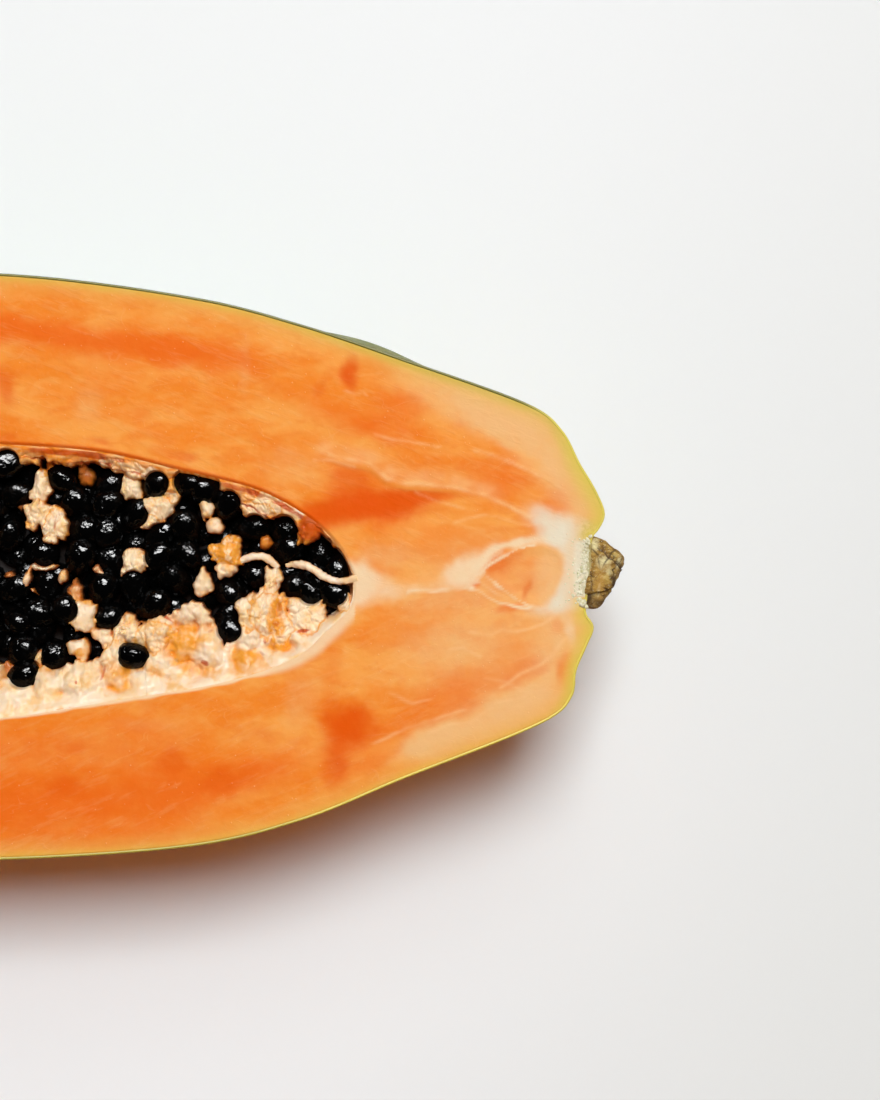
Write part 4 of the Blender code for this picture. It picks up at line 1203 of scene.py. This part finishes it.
def pith_depth(u, v, lumps, flaps, top_seeds):
    """Depth of the pith's surface at points of the hollow, and the shares that colour it."""
    flat = points_at(u, v, 0 * u)
    far_v, near_v = hollow_width(u)
    from_far, from_near = np.maximum(far_v - v, 0), np.maximum(v - near_v, 0)
    ragged = ripple(flat, 3.0) * 0.9 + ripple(flat, 1.1, 7.0) * 0.6
    bench = np.maximum(read_off(u, BENCH) + 1.5 * ragged, 0.15)
    lip = np.maximum(read_off(u, LIP) + 1.0 * ragged, 0.15)
    tip = smoothstep(np.minimum(u - HOLLOW_STEM_TIP, HOLLOW_FAR_TIP - u), 0.0, 9.0)
    bed = BED_DEPTH * (0.45 + 0.55 * tip)

    # The bench of flaps on the near side, and the lip on the far side.
    inward = smoothstep(from_near, 0.0, 3.5)
    shift = 0.26 * ripple(flat, 3.0, 71.0) + 0.14 * ripple(flat, 1.1, 77.0)
    flap, flap_stain, flap_grain = flap_shapes(u, v, flaps, shift)
    valley = fade(flap, -0.5, 0.9)
    bench_depth = 0.40 + (2.5 - 1.65 * flap) * inward + 1.6 * np.clip(from_near / bench, 0, 1) ** 2 * tip
    lip_depth = 0.50 + 1.6 * np.clip(from_far / lip, 0, 1) ** 2 + 0.4 * ripple(flat, 2.2, 5.0)
    on_bench = fade(from_near, bench - 0.1, bench + 0.8)
    on_lip = fade(from_far, lip - 0.1, lip + 0.5)
    depth = mix(bed, bench_depth, on_bench)
    depth = mix(depth, np.minimum(lip_depth, depth), on_lip)
    grain = np.maximum(flap_grain * (0.1 + 0.9 * smoothstep(from_near, 1.0, 4.0)) * on_bench, 0.35 * on_lip)
    # Golden where the bench falls to the seeds, partly painted shade, and painted shade in the valleys
    # between flaps.
    by_seeds = 0.6 * smoothstep(from_near / bench, 0.88, 1.04)
    stain = np.maximum(0.75 * on_lip, np.maximum(by_seeds, flap_stain + 0.5 * valley * inward) * on_bench)

    # The lumps among the seeds.
    raised, raised_lumps = np.maximum(on_bench, on_lip), np.zeros(u.shape)
    wander = 0.28 * ripple(flat, 2.6, 13.0) + 0.22 * ripple(flat, 1.1, 19.0)
    for *oval, lump_top, lump_stain, lump_grain in lumps:
        reach = max(oval[2:4]) * 1.7 + 1
        here = (np.abs(u - oval[0]) < reach) & (np.abs(v - oval[1]) < reach)
        if not here.any():
            continue
        r = lump_shape(u[here], v[here], oval, wander[here])
        rise = fade(r, 0.96, 1.14)
        top = lump_top + 0.3 * r**2 + 1.5 * r**4
        depth[here] = mix(depth[here], np.minimum(top, depth[here]), rise)
        grain[here] = mix(grain[here], lump_grain, rise)
        # Each lump's own stain, and a golden rim on its sloping sides that is partly painted shade.
        rim = np.maximum(lump_stain, 0.75 * smoothstep(r, 0.66, 1.05))
        stain[here] = mix(stain[here], rim, rise)
        raised[here] = np.maximum(raised[here], rise)
        raised_lumps[here] = np.maximum(raised_lumps[here], rise * (1 - lump_stain))

    # Their lobes, pebbles and folds, and the nests of the seeds on top.
    bent = flat + 0.5 * ripple(flat, 1.3, 5.0)[..., None] + 0.9 * ripple(flat, 3.4, 8.0)[..., None]
    folds = ripple(bent * np.array([1.0, 0.28, 1.0]), 1.7, 51.0) * on_bench * (0.3 + 0.7 * inward)
    lobes = (1 - grains(bent * np.array([1.0, 0.6, 1.0]), 4.6, 3.0, crease=2.8)) ** 2
    pebbles = (1 - grains(bent, 1.5, 11.0, crease=2.0)) ** 1.3
    swell = ripple(flat, 2.0, 61.0)
    knobs = 0.18 + 0.32 * raised_lumps
    rough = 0.40 * lobes * (0.15 + 0.85 * grain) + grain * (knobs * pebbles + 0.5 * swell)
    depth = depth + raised * (rough - 0.32 * folds)
    for seed_u, seed_v, seed_depth in top_seeds:
        here = (np.abs(u - seed_u) < NEST_REACH) & (np.abs(v - seed_v) < NEST_REACH)
        if here.any():
            r = np.hypot(u[here] - seed_u, v[here] - seed_v) / SEED_HALF
            nest = np.maximum(depth[here], seed_depth + 0.6)
            depth[here] = mix(depth[here], nest, fade(r, 0.62, 0.90))

    stain = np.maximum(stain, soft_patches(u + ragged * 0.8, v + ragged * 0.7, STAINS))
    line = read_off(u, FAR_LINE_SHARE) * fade(np.abs(from_far - 0.9), 0.2, 1.1)
    torn = on_lip * line * (0.85 + 0.6 * ripple(flat, 3.0, 41.0))
    # Red-brown where the lip falls away to the seeds: partly its torn edge, partly painted shade.
    torn = np.maximum(torn, on_lip * smoothstep(from_far / lip, 0.8, 1.05) * 0.8)
    torn = np.maximum(torn, soft_patches(u + ragged * 0.4, v + ragged * 0.3, SORES))
    # Painted shade, darker the deeper the pith lies, less at the blossom tip.
    sunken = smoothstep(depth, 4.6, 8.6) * (1 - 0.85 * smoothstep(u, 206.0, 216.0))
    # Painted shade in the creases between the relief's lobes and pebbles, and in the valleys between flaps.
    crease = 0.5 * lobes * (0.3 + 0.7 * grain) + 0.22 * grain * pebbles - 0.40 * folds - 0.15
    crease = raised * np.clip(crease + 0.5 * valley * inward * on_bench, 0, 1)
    return depth, {"stain": stain, "torn": torn, "sunken": sunken, "crease": crease, "grain": grain,
                   "lip": on_lip * (1 - raised_lumps)}


def wall_share(across):
    """How deep the hollow's wall is at shares of the way across, as a share of its deepest."""
    return np.sin(np.arccos(1 - 2 * across)) ** HOLLOW_ROUNDNESS


def pith(name, stretch, rows, columns, lumps, flaps, top_seeds):
    """One stretch of the lining as a closed piece: benches, lips and lumps above, the wall below."""
    under, overlap = 10, 0.45
    far, near, depth = hollow_rows(np.linspace(*stretch, rows + 1))
    across = closer_at_ends(columns, 0.25)
    width = np.linalg.norm(near - far, axis=1)
    wider = np.minimum(overlap, width) / np.maximum(width, 1e-6)
    reach = (1 + 2 * wider)[:, None] * across - wider[:, None]
    plan = far[:, None] + (near - far)[:, None] * reach[..., None]
    u, v = plan[..., 0], plan[..., 1]
    below, shares = pith_depth(u, v, lumps, flaps, top_seeds)
    wall = depth[:, None] * wall_share(np.clip(reach, 0, 1))
    below = np.minimum(below, np.maximum(wall - 0.8, 0.0))
    below = np.maximum(below, 0.30 + 0.35 * (reach < 0.5))
    below[:, 0], below[:, -1] = 0.65, 0.30
    top = points_at(u, v, below)
    bottom = hollow_wall(far, near, np.maximum(depth, 0.6), under, inset=0.35)
    bottom[:, 0], bottom[:, -1] = top[:, 0], top[:, -1]
    first = u.size
    faces = [grid_quads(rows, columns), grid_quads(rows, under, first)]
    for row, shut in ((0, stretch[0] > 0), (rows, stretch[1] < 1)):
        if shut:
            upper = row * (columns + 1) + np.arange(columns + 1)
            lower = first + row * (under + 1) + np.arange(1, under)
            faces.append([np.concatenate([upper, lower[::-1]])])
    everything = np.concatenate([top.reshape(-1, 3), bottom.reshape(-1, 3)])
    shares = then_hidden(shares, bottom[..., 0].size)
    dress(new_piece(name, in_scene(everything), faces, pith_finish(), shares), "pith")


def scattered_seeds(rng, lumps):
    """Middles (u, v, depth) of the seeds: those on top as listed, the rest wherever there is room."""
    top, under = [], []
    for u, v, *given in TOP_SEEDS:
        far_v, near_v = hollow_width(u)
        on_slope = smoothstep(v - near_v, 4.0, 13.0)
        depth = mix(SLOPE_LEVEL, HEAP_LEVEL, on_slope) - 3.0 * fade(far_v - v, 2.6, 5.6)
        top.append((u, v, *(given or [depth + rng.normal(0, 0.5)])))

    def room_for(u, v, others, spacing):
        """Whether a seed fits here, off the bench and clear of the others."""
        far_v, near_v = hollow_width(u)
        if far_v - v < 3.0 or v - near_v < max(2.8, read_off(u, BENCH) + 1.2):
            return False
        return all((u - su) ** 2 + (v - sv) ** 2 > spacing**2 for su, sv, _ in others)

    def covered(u, v, reach):
        """Whether a lump, grown to this reach, lies over a point."""
        return any(lump_shape(u, v, lump[:5], 0.0) < reach for lump in lumps)

    for layer, (spacing, reach, below, spread) in zip((top, under), SEED_LAYERS):
        for u, v in rng.uniform(*SCATTER_AREA, (SCATTER_TRIES, 2)):
            if room_for(u, v, layer, spacing) and not covered(u, v, reach):
                layer.append((u, v, HEAP_LEVEL + below + rng.normal(0, spread)))
    return top, under


def seed_tree():
    """Geometry nodes that put a wrinkled seed, turned its own way, on every point of a mesh.

    Fineness is the number of times that a seed's faces are split: 2 for those repeated hundreds of times.
    """
    sizes = {"Seed length": 8.2 * MM, "Seed width": 6.1 * MM, "Taper": 0.16, "Wrinkle depth": 0.50 * MM}
    tree, n, given = new_geometry_tree("seeds_on_points", {**sizes, "Draw": 5, "Fineness": 2, "Coat": None})

    ball = n.add("GeometryNodeMeshIcoSphere", {}, {"Radius": 1.0, "Subdivisions": given["Fineness"]})
    at = n.add("GeometryNodeInputPosition")
    pinch = 1.0 - n.parts(at)[0] * given["Taper"]
    half_width = given["Seed width"] * 0.5 * pinch
    reach = n.add("ShaderNodeCombineXYZ", {}, {0: given["Seed length"] * 0.5, 1: half_width, 2: half_width})
    shaped = n.add("ShaderNodeVectorMath", {"operation": "MULTIPLY"}, {0: at, 1: reach})
    seed = n.add("GeometryNodeSetPosition", {}, {"Geometry": ball, "Position": shaped})

    def random(low, high, draw):
        """A random vector for each seed, between two limits."""
        vector = {"data_type": "FLOAT_VECTOR"}
        return n.add("FunctionNodeRandomValue", vector, {0: low, 1: high, "Seed": draw})

    turn = random((-0.5, -0.5, 0.0), (0.5, 0.5, 2 * math.pi), given["Draw"])
    grow = random((0.86, 0.86, 0.84), (1.08, 1.10, 1.02), given["Draw"] + 1.0)
    spread = n.add(
        "GeometryNodeInstanceOnPoints",
        {},
        {"Points": given["Geometry"], "Instance": seed, "Rotation": turn, "Scale": grow},
    )
    real = n.add("GeometryNodeRealizeInstances", {}, {0: spread})

    where = n.add("GeometryNodeInputPosition")
    broad = n.add("ShaderNodeTexNoise", {}, {"Vector": where, "Scale": 0.33 / MM, "Detail": 2.0})
    fine = n.add("ShaderNodeTexNoise", {}, {"Vector": where, "Scale": 0.9 / MM, "Detail": 1.0})
    push = ((broad - 0.5) * 2.0 + (fine - 0.5)) * given["Wrinkle depth"]
    n.hand_over(n.swell(real, push), given["Coat"])
    return tree


def seeds(name, middles, fineness, draw, coat):
    """Loose seeds of the heap, one joined mesh."""
    points = bpy.data.meshes.new("seed_points")
    points.from_pydata(in_scene(np.array(middles)).tolist(), [], [])
    dress(grown(name, points, seed_tree(), Draw=draw, Fineness=fineness, Coat=coat), "seeds")


def seed_core():
    """A dark lumpy core that the loose seeds lie on."""
    rows, columns = 150, 44
    far, near, depth = hollow_rows(np.linspace(0.02, 0.98, rows + 1))
    across = np.linspace(0.05, 0.90, columns + 1)
    plan = far[:, None] + (near - far)[:, None] * across[:, None]
    u, v = plan[..., 0], plan[..., 1]
    wall = depth[:, None] * wall_share(across)
    top = np.minimum(HEAP_LEVEL + 3.6 - 1.2 * grains(points_at(u, v, 0 * u), 5.0), wall - 0.6)
    bottom = np.maximum(wall - 0.5, top + 0.05)
    bottom[:, [0, -1]] = top[:, [0, -1]]
    bottom[[0, -1]] = top[[0, -1]]
    layers = np.concatenate([points_at(u, v, below).reshape(-1, 3) for below in (top, bottom)])
    quads = grid_quads(rows, columns)
    dress(new_piece("seed_core", in_scene(layers), [quads, quads + u.size], core_finish()), "seeds")


def strand_tree():
    """Geometry nodes that sweep a lumpy cord of pith along a curve."""
    sizes = {"Radius": 0.78 * MM, "Lumps": 0.50 * MM}
    tree, n, given = new_geometry_tree("strand_along_curve", {**sizes, "Skin": None})
    path = n.add(
        "GeometryNodeResampleCurve", {"mode": "LENGTH"}, {"Curve": given["Geometry"], "Length": 0.25 * MM}
    )
    circle = n.add("GeometryNodeCurvePrimitiveCircle", {}, {"Resolution": 16, "Radius": given["Radius"]})
    thickness = n.add("GeometryNodeInputRadius")
    tube = n.add(
        "GeometryNodeCurveToMesh",
        {},
        {"Curve": path, "Profile Curve": circle, "Scale": thickness, "Fill Caps": True},
    )
    at = n.add("GeometryNodeInputPosition")
    bumps = n.add("ShaderNodeTexNoise", {}, {"Vector": at, "Scale": 0.8 / MM, "Detail": 2.0})
    lumpy = n.swell(tube, (bumps - 0.5) * 2.0 * given["Lumps"])
    n.hand_over(n.add("GeometryNodeRealizeInstances", {}, {0: lumpy}), given["Skin"])
    return tree


# Strands of pith that bridge the seeds, as points (u, v, depth).
STRANDS = (
    ((63.8, 1.0, 5.4), (61.7, 1.4, 3.7), (59.0, 0.7, 3.0), (56.7, -1.3, 2.9), (54.4, -2.3, 2.4),
     (52.4, -2.3, 1.7), (50.6, -1.9, 0.9), (49.4, -1.6, 0.7)),
    ((73.4, 1.6, 5.0), (71.6, 2.6, 4.1), (69.4, 3.0, 3.9), (67.4, 2.4, 4.2), (65.8, 0.6, 5.0)),
)
STRAND_THICKNESS = (0.6, 1.15, 1.0, 1.1, 0.85, 0.8, 1.0, 1.2)


def strands():
    """Cords of pith across the seeds, one joined mesh."""
    curve = bpy.data.curves.new("strand_paths", "CURVE")
    curve.dimensions = "3D"
    for path in STRANDS:
        spline = curve.splines.new("NURBS")
        spline.points.add(len(path) - 1)
        places = in_scene(np.array(path)).tolist()
        for point, place, thickness in zip(spline.points, places, STRAND_THICKNESS):
            point.co = (*place, 1.0)
            point.radius = thickness
        spline.order_u = 4
        spline.use_endpoint_u = True
    piece = grown("pith_strands", curve, strand_tree(), Skin=pith_finish())
    upward = np.array([vert.normal.z for vert in piece.data.vertices])
    # Painted shade: golden-brown on the strands' sides and undersides, the less they face up.
    flank = fade(upward, 0.20, 0.85)
    set_shares(piece.data, {"stain": flank * 0.55, "crease": flank * 0.65})
    dress(piece, "pith")


# ---------------------------------------------------------------------------------------------------
# Stem.

# The stub's outline on the cut face, as points (u, v), going round.
STUB_OUTLINE = (
    (2.9, 7.1), (-0.4, 5.6), (-2.4, 4.0), (-3.9, 2.5), (-3.6, 0.4), (-2.7, -1.2), (-1.7, -3.8), (-0.4, -5.5),
    (0.7, -7.2), (2.2, -7.8), (3.9, -7.3), (4.9, -5.6), (4.6, -3.0), (3.9, -0.3), (3.5, 1.8), (3.3, 4.6),
)
STUB_MIDDLE, STUB_DEPTH = (0.9, -0.4), 3.0
# Its broken faces, as (u, v, depth at that point, slope along u, slope along v). The deepest wins.
STUB_FACES = (
    (0.6, -0.6, -0.35, 0.10, 0.06), (-2.4, 0.6, 0.10, -0.85, 0.10), (1.2, 4.2, 0.25, -0.35, 0.60),
    (1.6, -4.6, -0.10, 0.05, -0.55), (3.9, 0.0, 0.12, 0.50, 0.0), (-1.2, -3.6, 0.30, -0.60, -0.35),
)
# Dark parts, partly painted shade along its lower and right edges, and golden and pale parts of its skin, (u,
# v, half length, half width, turn, strength).
STUB_DARK = (
    (-1.9, -2.6, 0.6, 2.4, -16, 0.9), (1.9, 3.4, 1.4, 0.22, 35, 0.9), (3.3, -5.6, 0.7, 1.2, 0, 0.9),
    (0.6, -6.7, 1.3, 0.7, 0, 0.6), (2.6, 6.4, 0.8, 0.25, -10, 0.7), (-0.6, 2.2, 0.25, 2.2, 35, 0.8),
    (2.7, -2.6, 0.22, 2.6, -6, 0.7), (-3.1, 0.6, 0.3, 2.4, -20, 0.8), (-1.6, 3.6, 0.25, 1.6, 40, 0.7),
    (1.2, 1.6, 0.2, 1.4, -20, 0.6), (-0.6, -4.4, 0.3, 1.6, -25, 0.7), (0.4, 4.3, 0.2, 1.2, 60, 0.6),
)
STUB_GOLD = ((1.2, -2.8, 1.3, 3.2, -6, 1.0), (0.4, 0.2, 1.2, 1.2, 0, 0.6))
STUB_PALE = (
    (0.3, 1.6, 1.5, 1.2, 0, 0.9), (2.0, 5.0, 0.8, 1.4, 10, 0.9), (-2.8, 1.6, 0.4, 1.3, 15, 0.9),
    (-0.9, -0.2, 0.7, 0.8, 0, 0.6), (1.2, -4.2, 0.3, 1.2, 0, 0.5),
)
# Dry crumbs in the crevice round it, as (u, v, radius).
CRUMBS = (
    (4.5, -6.6, 0.85), (5.3, -5.9, 0.45), (3.7, -7.4, 0.45), (4.8, -4.6, 0.36), (4.3, -2.2, 0.40),
    (4.1, 0.4, 0.42), (3.8, 2.6, 0.36), (3.3, 5.4, 0.34), (2.9, 6.7, 0.40), (5.0, -0.9, 0.22),
)
SMALL_CRUMBS, CRUMB_SEED, CRUMB_DEPTH = 110, 4, 0.02


def stem():
    """The woody stub, broken into faces and cracked along its length."""
    around, levels = 180, 70
    loop = smooth_line([*STUB_OUTLINE, STUB_OUTLINE[0]], 30)
    loop = resample(loop, evenly(loop, np.linspace(0, 1, around + 1)))
    middle = np.array(STUB_MIDDLE)
    rise = np.linspace(-math.pi / 2, math.pi / 2, levels + 1)
    spread = np.abs(np.cos(rise)) ** 0.42
    spread[[0, -1]] = 0.0
    plan = middle + (loop - middle) * spread[:, None, None]
    u, v = plan[..., 0], plan[..., 1]
    half_height = np.where(rise > 0, 4.6, 3.35)
    depth = STUB_DEPTH + np.sin(rise)[:, None] * half_height[:, None]
    depth = np.broadcast_to(depth, plan.shape[:2])
    broken = np.max([d + a * (u - fu) + b * (v - fv) for fu, fv, d, a, b in STUB_FACES], axis=0)
    depth = np.where(rise[:, None] < 0, np.maximum(depth, broken), depth)
    points = points_at(u, v, depth)
    fibre = points * np.array([0.35, 1.0, 1.0])

    cracks = fade(np.abs(ripple(fibre, 1.9, 2.0)), 0.0, 0.09)
    cracks *= smoothstep(ripple(points, 3.2, 8.0), -0.10, 0.25)
    crevice = fade(np.abs(v - 0.9 * u - 3.4 + 0.4 * ripple(points, 1.5)), 0.0, 0.45)
    chunk = fade(np.abs(v + 4.3 + 0.25 * u + 0.5 * ripple(points, 1.7, 4.0)), 0.0, 0.40)
    cracks = np.maximum(cracks, np.maximum(0.8 * crevice * (u < 1.5), 0.9 * chunk * (u < 3.4)))
    out = points - np.array([*middle, STUB_DEPTH])
    out /= np.maximum(np.linalg.norm(out, axis=-1, keepdims=True), 1e-6)
    push = 0.18 * ripple(points, 2.4) + 0.20 * ripple(fibre, 0.9) + 0.08 * ripple(points, 0.45)
    points = points + out * (push - 0.40 * cracks)[..., None]
    points[:, -1] = points[:, 0]

    # Grey-brown bark towards the right edge, and painted shade on the lower side (towards -v).
    weathered = smoothstep(-u - 0.35 * v, 1.6, 3.6) + 0.8 * smoothstep(-v, 4.6, 5.8)
    u, v = u + 0.4 * ripple(points, 1.6, 6.0), v + 0.4 * ripple(points, 1.6, 16.0)
    shares = {
        # Dark cracks and edges, partly painted shade.
        "crack": np.maximum(cracks, soft_patches(u, v, STUB_DARK)),
        "weathered": np.clip(weathered, 0, 1),
        "gold": soft_patches(u, v, STUB_GOLD),
        "pale": soft_patches(u, v, STUB_PALE),
    }
    faces = [grid_quads(levels, around)]
    dress(new_piece("stem_stub", in_scene(points.reshape(-1, 3)), faces, stem_finish(), shares), "stem")


def small_crumbs():
    """Finer crumbs (u, v, radius) along the stub's foot, fewer and smaller farther from it."""
    rng = np.random.default_rng(CRUMB_SEED)
    foot_u, foot_v = np.array(STUB_OUTLINE[9:] + STUB_OUTLINE[:1]).T
    v = rng.uniform(-7.6, 6.6, SMALL_CRUMBS)
    away = np.minimum(rng.exponential(1.0, SMALL_CRUMBS), 3.4)
    radius = rng.uniform(0.16, 0.36, SMALL_CRUMBS) * (1 - 0.14 * away)
    return list(zip(np.interp(v, foot_v, foot_u) + away, v, radius))


def stem_crumbs():
    """Dry crumbs between the stub and the flesh, one joined mesh."""
    bm = bmesh.new()
    for u, v, radius in [*CRUMBS, *small_crumbs()]:
        ball = bmesh.ops.create_icosphere(bm, subdivisions=2, radius=radius * MM)["verts"]
        place = Vector(in_scene((u, v, CRUMB_DEPTH)).tolist())
        for vert in ball:
            lump = 1 + 0.45 * noise.noise(vert.co / (0.7 * radius * MM) + place / MM)
            vert.co = place + Vector((vert.co.x * lump, vert.co.y * lump, vert.co.z * lump * 0.5))
    mesh = bpy.data.meshes.new("stem_crumbs")
    bm.to_mesh(mesh)
    bm.free()
    mesh.shade_smooth()
    mesh.materials.append(crumb_finish())
    dress(placed("stem_crumbs", mesh), "stem")


# ---------------------------------------------------------------------------------------------------
# Stage, light and camera.

FLOOR_HALF = 6.0
LIT_POINT = (60.0, 0.0, 0.0)  # (u, v, depth) that the lamps aim at
COOL = (0.89, 1.0, 1.04)  # the lamps are cool, so that with the warm fill a white thing is white
WARM = (0.19, 0.08, 0.042, 1.0)


def stage():
    """A plain pale floor."""
    mesh = bpy.data.meshes.new("floor")
    corners = [(x * FLOOR_HALF, y * FLOOR_HALF, 0) for x, y in ((-1, -1), (1, -1), (1, 1), (-1, 1))]
    mesh.from_pydata(corners, [], [(0, 1, 2, 3)])
    mesh.materials.append(floor_finish())
    floor = placed("floor", mesh)


def soft_light(name, towards, distance, size, power, tint=(1, 1, 1), shines=True, lights=True):
    """A soft light in a direction given by its tilts from upright, towards +Y and +X, in degrees."""
    tilt_y, tilt_x = (math.radians(a) for a in towards)
    aim = Vector(in_scene(LIT_POINT).tolist())
    way = Vector((math.tan(tilt_x), math.tan(tilt_y), 1.0)).normalized()
    data = bpy.data.lights.new(name, "AREA")
    data.shape, data.energy, data.color = "RECTANGLE", power, tint
    data.size, data.size_y = size
    lamp = placed(name, data)
    lamp.location = aim + way * distance
    lamp.rotation_euler = way.to_track_quat("Z", "Y").to_euler()
    lamp.visible_glossy, lamp.visible_diffuse = shines, lights


def world(fill, backdrop):
    """A warm fill, as from a room, that looks pale where it is seen directly and hardly reflects."""
    made = bpy.data.worlds.new("studio")
    made.use_nodes = True
    n = Nodes(made.node_tree)
    seen = n.add("ShaderNodeLightPath", output="Is Camera Ray")
    mirrored = n.add("ShaderNodeLightPath", output="Is Glossy Ray")
    colour = n.blend(seen, fill, (backdrop, backdrop * 0.995, backdrop * 0.985, 1.0))
    shine = n.add("ShaderNodeBackground", {}, {"Color": colour, "Strength": 1.0 - mirrored * 0.97})
    n.add("ShaderNodeOutputWorld", {}, {"Surface": shine})
    bpy.context.scene.world = made


def camera(height=0.62, field=0.220, towards_blossom=33.0, aside=4.0):
    """A camera straight above the cut face, with its top towards +Y."""
    data = bpy.data.cameras.new("camera")
    data.sensor_width = 36.0
    data.lens = data.sensor_width * height / field
    shot = placed("camera", data)
    shot.location = (STEM_END - towards_blossom * MM, AXIS_Y + aside * MM, CUT + height)
    bpy.context.scene.camera = shot


def main():
    """Builds every piece, then the stage, the light and the camera."""
    rng = np.random.default_rng(SCATTER_SEED)
    lumps = LUMPS + more_lumps(rng)
    top_seeds, deep_seeds = scattered_seeds(rng, lumps)
    flaps = FLAPS + more_flaps(rng)
    flesh()
    peel()
    for name, stretch, rows, columns in PITH_STRETCHES:
        pith(name, stretch, rows, columns, lumps + TIP_LUMPS, flaps, top_seeds)
    strands()
    coat = seed_finish()
    seen = [seed for seed in top_seeds if seed[0] < SEEN_END]
    unseen = [seed for seed in top_seeds if seed[0] >= SEEN_END]
    seeds("seeds_on_top", seen, 3, 5, coat)
    seeds("seeds_around", unseen + deep_seeds, 2, 9, coat)
    seed_core()
    stem()
    stem_crumbs()
    stage()
    soft_light("softbox", (17.2, 4), 2.2, (0.74, 0.74), 44.6, COOL, shines=False)
    soft_light("side_window", (34, 8), 2.2, (1.0, 1.0), 8.8, COOL, shines=False)
    soft_light("glint_window", (34, 4), 1.3, (0.95, 0.50), 130.0, lights=False)
    world(WARM, 0.85)
    camera()
    bpy.context.scene.view_settings.view_transform = "Standard"


main()
